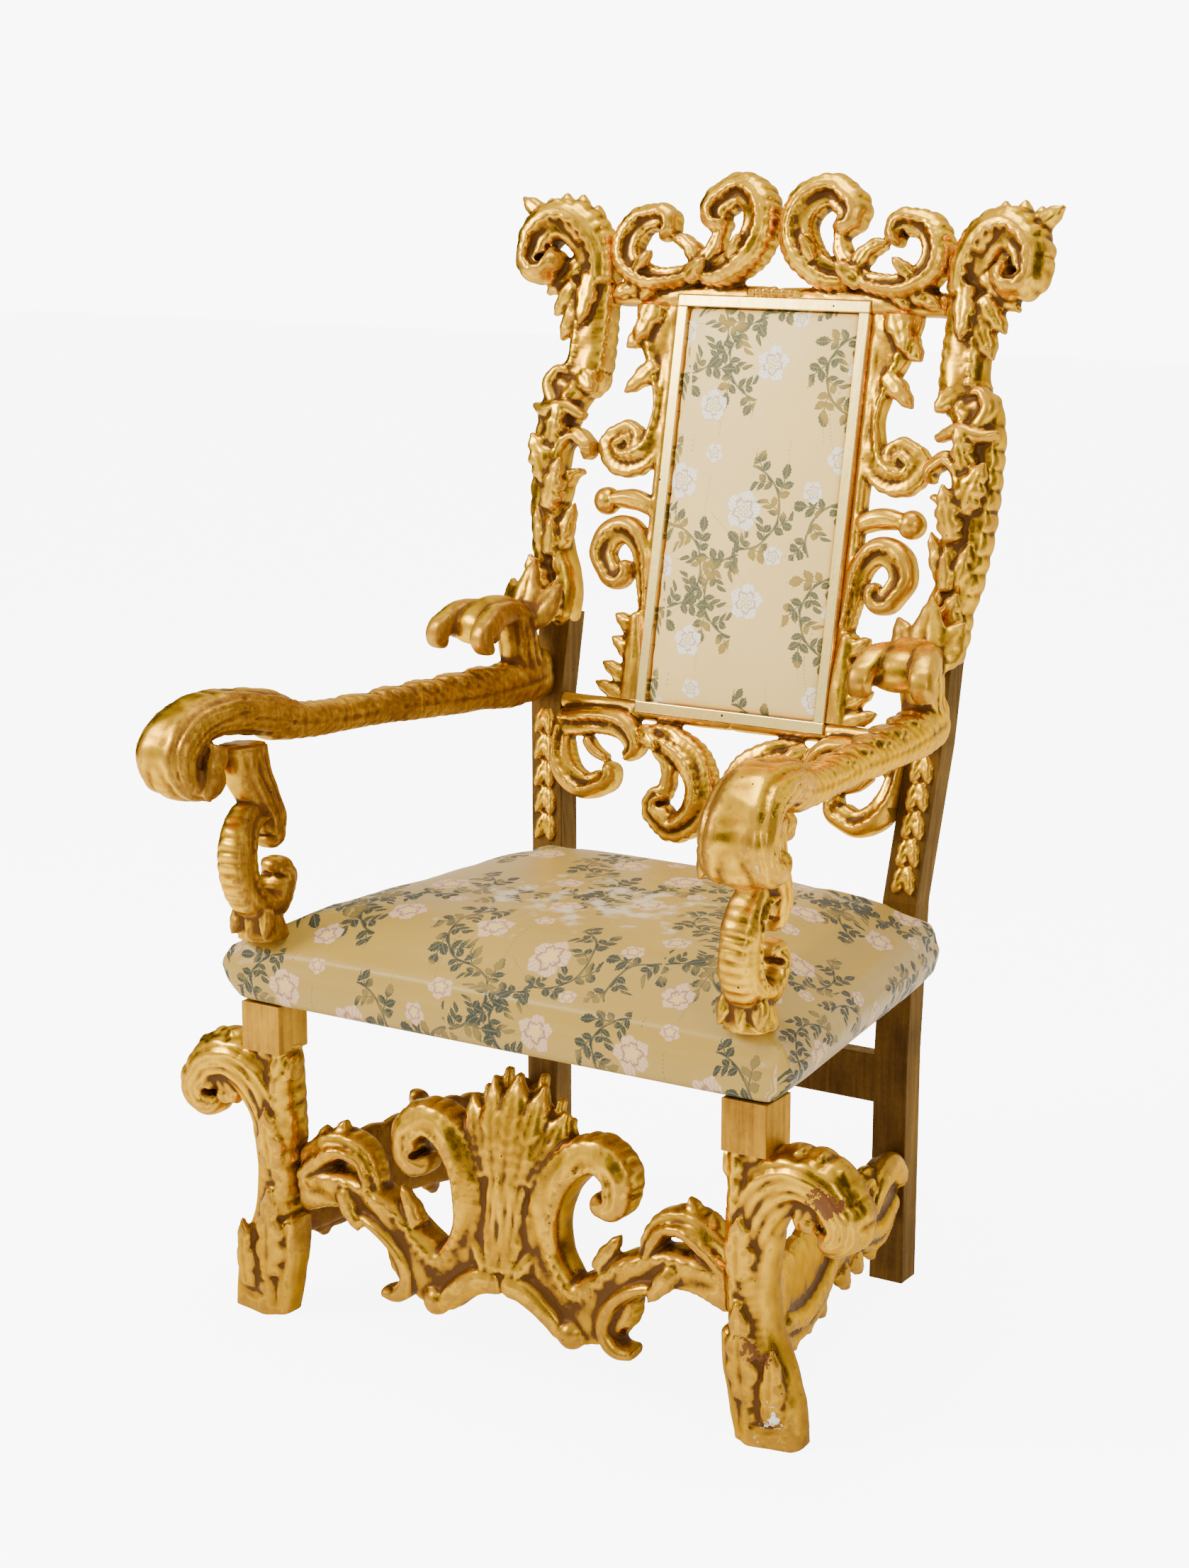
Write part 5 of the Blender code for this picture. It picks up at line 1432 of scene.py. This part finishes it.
# %% Make groups that can be stamped
def motif(name, outputs, draw):
    """A node group that takes a place on the cloth and gives a drawing's masks."""
    tree = bpy.data.node_groups.new(name, "ShaderNodeTree")
    tree.interface.new_socket("Place", in_out="INPUT", socket_type="NodeSocketVector")
    for word in outputs:
        tree.interface.new_socket(word, in_out="OUTPUT", socket_type="NodeSocketFloat")
    parts = tree.nodes.new("ShaderNodeSeparateXYZ")
    tree.links.new(tree.nodes.new("NodeGroupInput").outputs[0], parts.inputs[0])
    end = tree.nodes.new("NodeGroupOutput")
    for word, flow in zip(outputs, draw(*(Flow(tree, parts.outputs[k]) for k in (0, 1)))):
        tree.links.new(flow.socket, end.inputs[word])
    return tree


def stamp(tree, place, drawing, cx, cy, angle=0.0, size=1.0, flip=1):
    """The masks of a drawing set down at (cx, cy), turned by an angle in degrees."""
    mapping = tree.nodes.new("ShaderNodeMapping")
    mapping.vector_type = "TEXTURE"
    mapping.inputs["Location"].default_value = (cx, cy, 0)
    mapping.inputs["Rotation"].default_value = (0, 0, math.radians(angle))
    mapping.inputs["Scale"].default_value = (size, size * flip, 1)
    tree.links.new(place, mapping.inputs["Vector"])
    used = tree.nodes.new("ShaderNodeGroup")
    used.node_tree = drawing
    tree.links.new(mapping.outputs[0], used.inputs[0])
    return [Flow(tree, socket) for socket in used.outputs]


print("stamps ready")

# %% [markdown]
# A rose leaf has five toothed leaflets on one stalk. The teeth are a folded wave along the
# edge. The bloom is drawn in polar form: five petals are one lobe folded round the middle.

# %% Draw one rose leaf and one bloom
TOOTH = .0032


def leaflet(along, off, length, half):
    """Mask, midrib and outline of one toothed leaf from 0 to length along its rib."""
    belly = ((along / length).most(0).least(1) * math.pi).do("SINE").do("POWER", .8) * half
    teeth = (along * (math.pi / TOOTH)).do("SINE").size() * (half * .22) - half * .12
    inside = (belly + teeth - off.size()) / (half * .14)
    mask = inside.do("ADD", 0.0, clamp=True)
    rib = 1 - off.size().step(half * .09, half * .08)
    return mask, mask * rib, mask * (1 - (inside / 2.2).do("ADD", 0.0, clamp=True))


def rose_leaf(a, b):
    """A bending stalk with two pairs of leaflets and one at its tip."""
    b = b - a * a * 6.0
    on = a.step(0, .0006) * (1 - a.step(.021, .0006))
    fold = a.wrap(0, .0105)
    along, off = fold * .66 + b.size() * .75, b.size() * .66 - fold * .75
    tip = leaflet(a - .0195, b, .0165, .0052)
    side = leaflet(along, off, .0145, .0043)
    stalk = on * (1 - b.size().step(.0007, .0006))
    return [(s * on).most(t) for s, t in zip(side, tip)] + [stalk]


def rose_bloom(x, y):
    """Mask, folds and stamens of an open rose of radius 1."""
    r = (x * x + y * y).do("SQRT")
    angle = y.do("ARCTAN2", x)
    scallop = (angle * 2.5).do("SINE").size()
    ruffle = (angle * 12).do("SINE") * .035
    edge = scallop * .24 + ruffle + .78
    mask = ((edge - r) / .06).do("ADD", 0.0, clamp=True)
    inner = (angle * 2.5 + 1.2).do("SINE").size() * .22 + ruffle + .36
    fold = 1 - (r - inner).size().step(.065, .06)
    outline = 1 - (edge - r).size().step(.05, .05)
    ray = (1 - scallop.step(.09, .10)) * r.step(.3, .1)
    streak = (angle * 26).do("SINE").step(.3, .8) * .4 * r.step(.35, .2)
    core = (1 - r.step(.33, .05)) * ((angle * 5).do("SINE") * (r * 24).do("SINE")).step(-.1, .5)
    return mask, fold.most(outline).most(ray).most(streak) * mask, core


compound_leaf = motif("rose leaf", ("Mask", "Rib", "Line", "Stem"), rose_leaf)
bloom = motif("rose", ("Mask", "Fold", "Stamens"), rose_bloom)
print("motifs:", compound_leaf.name, bloom.name)

# %% [markdown]
# The pattern repeats in a cell of 240 by 300 mm, and each column is dropped by half a cell.
# Stems are arcs, each (centre x, y, radius, from and to in degrees), and roses are (x, y,
# radius). Leaves spring from the stems on alternate sides: distance round the arc is
# folded to a fixed step and distance off it to one side, so one leaf draws a whole row.

# %% Lay out the repeat
ARCS = [(-.045, .085, .052, 98, 262), (-.056, -.020, .052, -84, 88), (-.050, -.122, .050, 95, 205),
        (.046, .062, .054, -96, 78), (.058, -.050, .052, 98, 262)]
ROSES = [(-.046, .090, .024), (.050, .058, .026), (-.066, -.020, .018), (.068, -.056, .024),
         (-.002, .128, .013), (-.012, -.112, .021), (-.098, -.062, .014), (.098, .004, .013)]
CELL_HALF_WIDTH, CELL_HALF_HEIGHT, LEAF_STEP = .12, .15, .040


def whole_pattern(u, v):
    """Masks of the whole repeat: leaves, stems and roses."""
    tree = u.tree
    column = (u / (2 * CELL_HALF_WIDTH) + .5).do("FLOOR")
    x = u.wrap(-CELL_HALF_WIDTH, CELL_HALF_WIDTH)
    y = (v + column.wrap(0, 2) * CELL_HALF_HEIGHT).wrap(-CELL_HALF_HEIGHT, CELL_HALF_HEIGHT)
    cell = tree.nodes.new("ShaderNodeCombineXYZ")
    tree.links.new(x.socket, cell.inputs[0])
    tree.links.new(y.socket, cell.inputs[1])
    leaves = stem = None
    for k, (cx, cy, radius, first, last) in enumerate(ARCS):
        dx, dy = x - cx, y - cy
        middle, span = math.radians((first + last) / 2), math.radians((last - first) / 2)
        round_it = (dy.do("ARCTAN2", dx) - middle).wrap(-math.pi, math.pi)
        off = (dx * dx + dy * dy).do("SQRT") - radius
        window = 1 - round_it.size().step(span, .01)
        line = (1 - off.size().step(.0014, .0007)) * window
        stem = stem.most(line) if stem else line
        pitch = 2 * span * radius / max(1, round(2 * span * radius / LEAF_STEP))
        along_it = round_it * radius + off.step(0, .0001) * (pitch / 2) + span * radius
        unrolled = tree.nodes.new("ShaderNodeCombineXYZ")
        tree.links.new(along_it.wrap(0, pitch).socket, unrolled.inputs[0])
        tree.links.new(off.size().socket, unrolled.inputs[1])
        made = stamp(tree, unrolled.outputs[0], compound_leaf, .005, 0, 38 + 5 * (k % 3), 1.08)
        made = [mask * window for mask in made]
        leaves = [a.most(b) for a, b in zip(leaves, made)] if leaves else made
    roses = None
    for k, (cx, cy, radius) in enumerate(ROSES):
        made = stamp(tree, cell.outputs[0], bloom, cx, cy, 40 * k, radius)
        roses = [a.most(b) for a, b in zip(roses, made)] if roses else made
    leaves[3] = leaves[3].most(stem)
    return leaves + roses


repeat = motif("repeat", ("Leaf", "Rib", "Line", "Stem", "Rose", "Fold", "Stamens"),
               whole_pattern)
print("pattern nodes:", len(repeat.nodes))

# %% [markdown]
# The weave itself is satin: a smooth ground with a fine slub, and the flowers stand a thread
# higher and duller. Where the seat is sat on, the flowers are rubbed thin.

# %% Weave the brocade
def brocade(name, ground, leaf, leaf_gold, leaf_light, petal, petal_shade, worn):
    """The flowered satin, from its thread colours and how far it is worn."""
    made, tree, shader, _ = new_finish(name, .46, 0.0)
    source = tree.nodes.new("ShaderNodeAttribute")
    source.attribute_name = "cloth"
    place = source.outputs["Vector"]
    wander = cloudy(tree, place, 30, 1)
    shifted = tree.nodes.new("ShaderNodeVectorMath")
    shifted.operation = "ADD"
    shove = tree.nodes.new("ShaderNodeCombineXYZ")
    tree.links.new(((wander - .5) * .006).socket, shove.inputs[0])
    tree.links.new(((wander - .5) * -.005).socket, shove.inputs[1])
    tree.links.new(place, shifted.inputs[0])
    tree.links.new(shove.outputs[0], shifted.inputs[1])
    pattern = tree.nodes.new("ShaderNodeGroup")
    pattern.node_tree = repeat
    tree.links.new(shifted.outputs[0], pattern.inputs[0])
    mask, rib, line, stem, rose, fold, stamen = (Flow(tree, socket) for socket in pattern.outputs)
    tone = cloudy(tree, place, 9, 3)
    slub = cloudy(tree, stretched(tree, place, (1400, 90, 90)), 1, 2)
    warp = cloudy(tree, stretched(tree, place, (90, 1100, 90)), 1, 2)
    rubbed = (cloudy(tree, place, 26, 4) + named(tree, "rubbed") * .35).step(.86, .12) * worn
    show = 1 - rubbed * .85
    colour = blend(tree, (tone - .5) * .8 + (slub - .5) * .35 + .5, ground,
                   tuple(c * .84 for c in ground))
    green = blend(tree, cloudy(tree, place, 22, 1).step(.56, .08), leaf, leaf_gold)
    colour = blend(tree, stem * .85 * show, colour, leaf)
    colour = blend(tree, mask * ((slub - .5) * .5 + .95) * show, colour, green)
    colour = blend(tree, rib * .75 * show, colour, leaf_light)
    colour = blend(tree, line * .55 * show, colour, tuple(c * .4 for c in leaf))
    colour = blend(tree, rose * ((warp - .5) * .4 + .9) * show, colour, petal)
    colour = blend(tree, fold * .85 * show, colour, petal_shade)
    colour = blend(tree, stamen * .85 * show, colour, (.70, .46, .06))
    colour = blend(tree, rubbed * .45, colour, (.80, .74, .60))
    tree.links.new(colour, shader.inputs["Base Color"])
    shader.inputs["Sheen Weight"].default_value = .06
    shader.inputs["Specular IOR Level"].default_value = .35
    shader.inputs["Sheen Roughness"].default_value = .4
    crease = cloudy(tree, stretched(tree, place, (5, 20, 1)), 1.4, 2)
    thread = mask.most(rose)
    tree.links.new((thread * .24 + .36 + tone * .08).socket, shader.inputs["Roughness"])
    raised(tree, shader, slub * .14 + warp * .10 + thread * .5 - line * .25 - fold * .2
           + tone * .5 + crease * 5 * worn, .0008, .55)
    return made


seat_cloth = brocade("seat brocade", (.41, .250, .030), (.020, .025, .013), (.20, .125, .014),
                     (.13, .13, .055), (.66, .42, .23), (.26, .12, .05), .9)
# Painted light: the back's copy of the same brocade is far paler than the seat's, standing for the
# strong light on the panel; the seat's copy is also worn.
lit_back_cloth = brocade("back brocade painted lit", (.92, .64, .20), (.085, .090, .035), (.34, .21, .022),
                     (.26, .24, .11), (1.0, .93, .76), (.50, .32, .13), 0.0)
print("cloths:", seat_cloth.name, lit_back_cloth.name)

# %% [markdown]
# ## The seat
#
# The seat is stuffed over its frame. Its block is shaped like the solid, remeshed fine and
# blown up a little with a cloth simulation, so the fabric is drawn tight over the edges
# and lies in soft hollows, as stuffing does.

# %% Swell a pad as stuffed cloth
def inflate(piece, pressure, cap, pinned, grain):
    """Swell a closed block as stuffed cloth, moving no point further than the cap."""
    mesh_in = piece.modifiers.new("fine", "REMESH")
    mesh_in.mode = "VOXEL"
    mesh_in.voxel_size = grain
    applied(piece)
    start, _, _ = read_mesh(piece.data)
    group = piece.vertex_groups.new(name="held")
    group.add([int(i) for i in np.nonzero(pinned(start))[0]], 1.0, "REPLACE")
    cloth = piece.modifiers.new("stuffing", "CLOTH")
    cloth.settings.use_pressure = True
    cloth.settings.uniform_pressure_force = pressure
    cloth.settings.effector_weights.gravity = 0
    cloth.settings.vertex_group_mass = "held"
    cloth.settings.quality = 5
    for tick in range(1, 21):
        bpy.context.scene.frame_set(tick)
    applied(piece)
    swollen, _, _ = read_mesh(piece.data)
    moved = swollen - start
    far = np.linalg.norm(moved, axis=1)
    print("moved at most", round(float(far.max()), 4), "m, capped at", cap)
    swollen = start + moved * np.minimum(1, cap / np.maximum(far, 1e-9))[:, None]
    piece.data.vertices.foreach_set("co", swollen.ravel())
    bpy.context.scene.frame_set(1)
    piece.data.update()
    return swollen


def finish_pad(piece, cloth_places, cloth, node):
    """Write the cloth's own coordinates, smooth it and hide the solid that it stands for."""
    layer = piece.data.attributes.new("cloth", "FLOAT_VECTOR", "POINT")
    layer.data.foreach_set("vector", np.ascontiguousarray(cloth_places, np.float32).ravel())
    piece.data.shade_smooth()
    smooth = piece.modifiers.new("smooth", "SUBSURF")
    smooth.levels = smooth.render_levels = 1
    piece.data.materials.clear()
    piece.data.materials.append(cloth)
    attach(piece, "root")
    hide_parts(node)
    print(piece.name, len(piece.data.polygons), "faces")


print("stuffing tools ready")

# %% [markdown]
# The seat widens to the front and its front corners are rounded off. The cloth's own
# coordinates run on over its edges, so the flowers bend over the front and down the sides.

# %% Upholster the seat
SEAT_HALF_FRONT, SEAT_HALF_BACK, SEAT_DEPTH = .362, .302, .545
PAD_GRAIN = .0088
block = bmesh.new()
size = (2 * SEAT_HALF_FRONT, SEAT_DEPTH, SEAT_TOP - SEAT_UNDERSIDE)
bmesh.ops.create_cube(block, size=1.0, matrix=Matrix.Diagonal((*size, 1.0)))
bmesh.ops.subdivide_edges(block, edges=block.edges[:], cuts=11, use_grid_fill=True)
for vert in block.verts:
    u, v, w = (2 * vert.co[k] / size[k] for k in range(3))
    half = SEAT_HALF_FRONT + (SEAT_HALF_BACK - SEAT_HALF_FRONT) * (v + 1) / 2
    swell = .032 * (1 - .7 * (v + 1) / 2) * (1 - w * w) * abs(u) ** 5
    crown = .030 * max(0, w) ** 2 * (1 - abs(u) ** 5) * (1 - abs(v) ** 5)
    over = max(0, w) ** 4
    roll = over * max(abs(u), abs(v)) ** 10
    corner = .012 * max(0, abs(u) + abs(v) - 1.7) * (1 + over)
    vert.co = Vector((u * (half + swell - .012 * roll - corner),
                      FRONT_Y - .003 + (SEAT_DEPTH - .002) * (v + 1) / 2
                      - v * (.010 * roll + corner) - .006 * (1 - w * w) * (v < -.99),
                      SEAT_UNDERSIDE + (size[2] - .002) * (w + 1) / 2 + crown - .014 * roll))
bmesh.ops.recalc_face_normals(block, faces=block.faces)
seat = put(block, "seat_cushion")
places = inflate(seat, 3.0, .006, lambda p: p[:, 2] < SEAT_UNDERSIDE + .045, PAD_GRAIN)
x, y, z = places.T
edge = SEAT_HALF_FRONT + (SEAT_HALF_BACK - SEAT_HALF_FRONT) * (y - FRONT_Y) / SEAT_DEPTH
drop = np.clip(SEAT_TOP - z, 0, 1)
to_side, to_front, to_rear = np.abs(x) - edge, FRONT_Y - y, y - FRONT_Y - SEAT_DEPTH
sideways = (to_side > to_front) & (to_side > to_rear)
over_edge = np.where(to_front > to_rear, -drop, drop)
cloth_places = np.column_stack([np.where(sideways, x + np.sign(x) * drop, x),
                                np.where(sideways, y, y + over_edge), np.zeros(len(x))])
note(seat.data, "rubbed", np.exp(-((x / .22) ** 2 + ((y + .08) / .16) ** 2)) * (z > SEAT_TOP))
finish_pad(seat, cloth_places, seat_cloth, "seat")

# %% [markdown]
# ## The back pad
#
# The panel's pad is a thin stuffed slab let in between the strips: crowned in the middle,
# drawn down along its edges.

# %% Upholster the back panel
pad = bmesh.new()
bmesh.ops.create_cube(pad, size=2)
bmesh.ops.subdivide_edges(pad, edges=pad.edges[:], cuts=13, use_grid_fill=True)
half = PANEL_HALF - STRIP - GAP
low, high = STRIP + GAP, PANEL_LENGTH - GAP
for vert in pad.verts:
    u, v, w = vert.co.x, vert.co.z, -vert.co.y
    crown = .0085 * (1 - u ** 4) * (1 - v ** 8)
    d = crown if w > .99 else -.030 + (w + 1) / 2 * (.030 + crown)
    vert.co = tilted((low + high) / 2 + v * (high - low) / 2, d, u * half)
bmesh.ops.recalc_face_normals(pad, faces=pad.faces)
back = put(pad, "back_cushion")


def held_back(places):
    """The part of the pad behind its face, where its fabric is tacked down."""
    depth = (places - np.array(tilted(0))) @ np.array(BACK_OUT)
    return depth < .001


places = inflate(back, 2.0, .003, held_back, PAD_GRAIN * .75)
slope = (places - np.array(tilted(0))) @ np.array(BACK_UP)
cloth_places = np.column_stack([places[:, 0] + .055, slope - .21, np.zeros(len(places))])
finish_pad(back, cloth_places, lit_back_cloth, "back_pad")
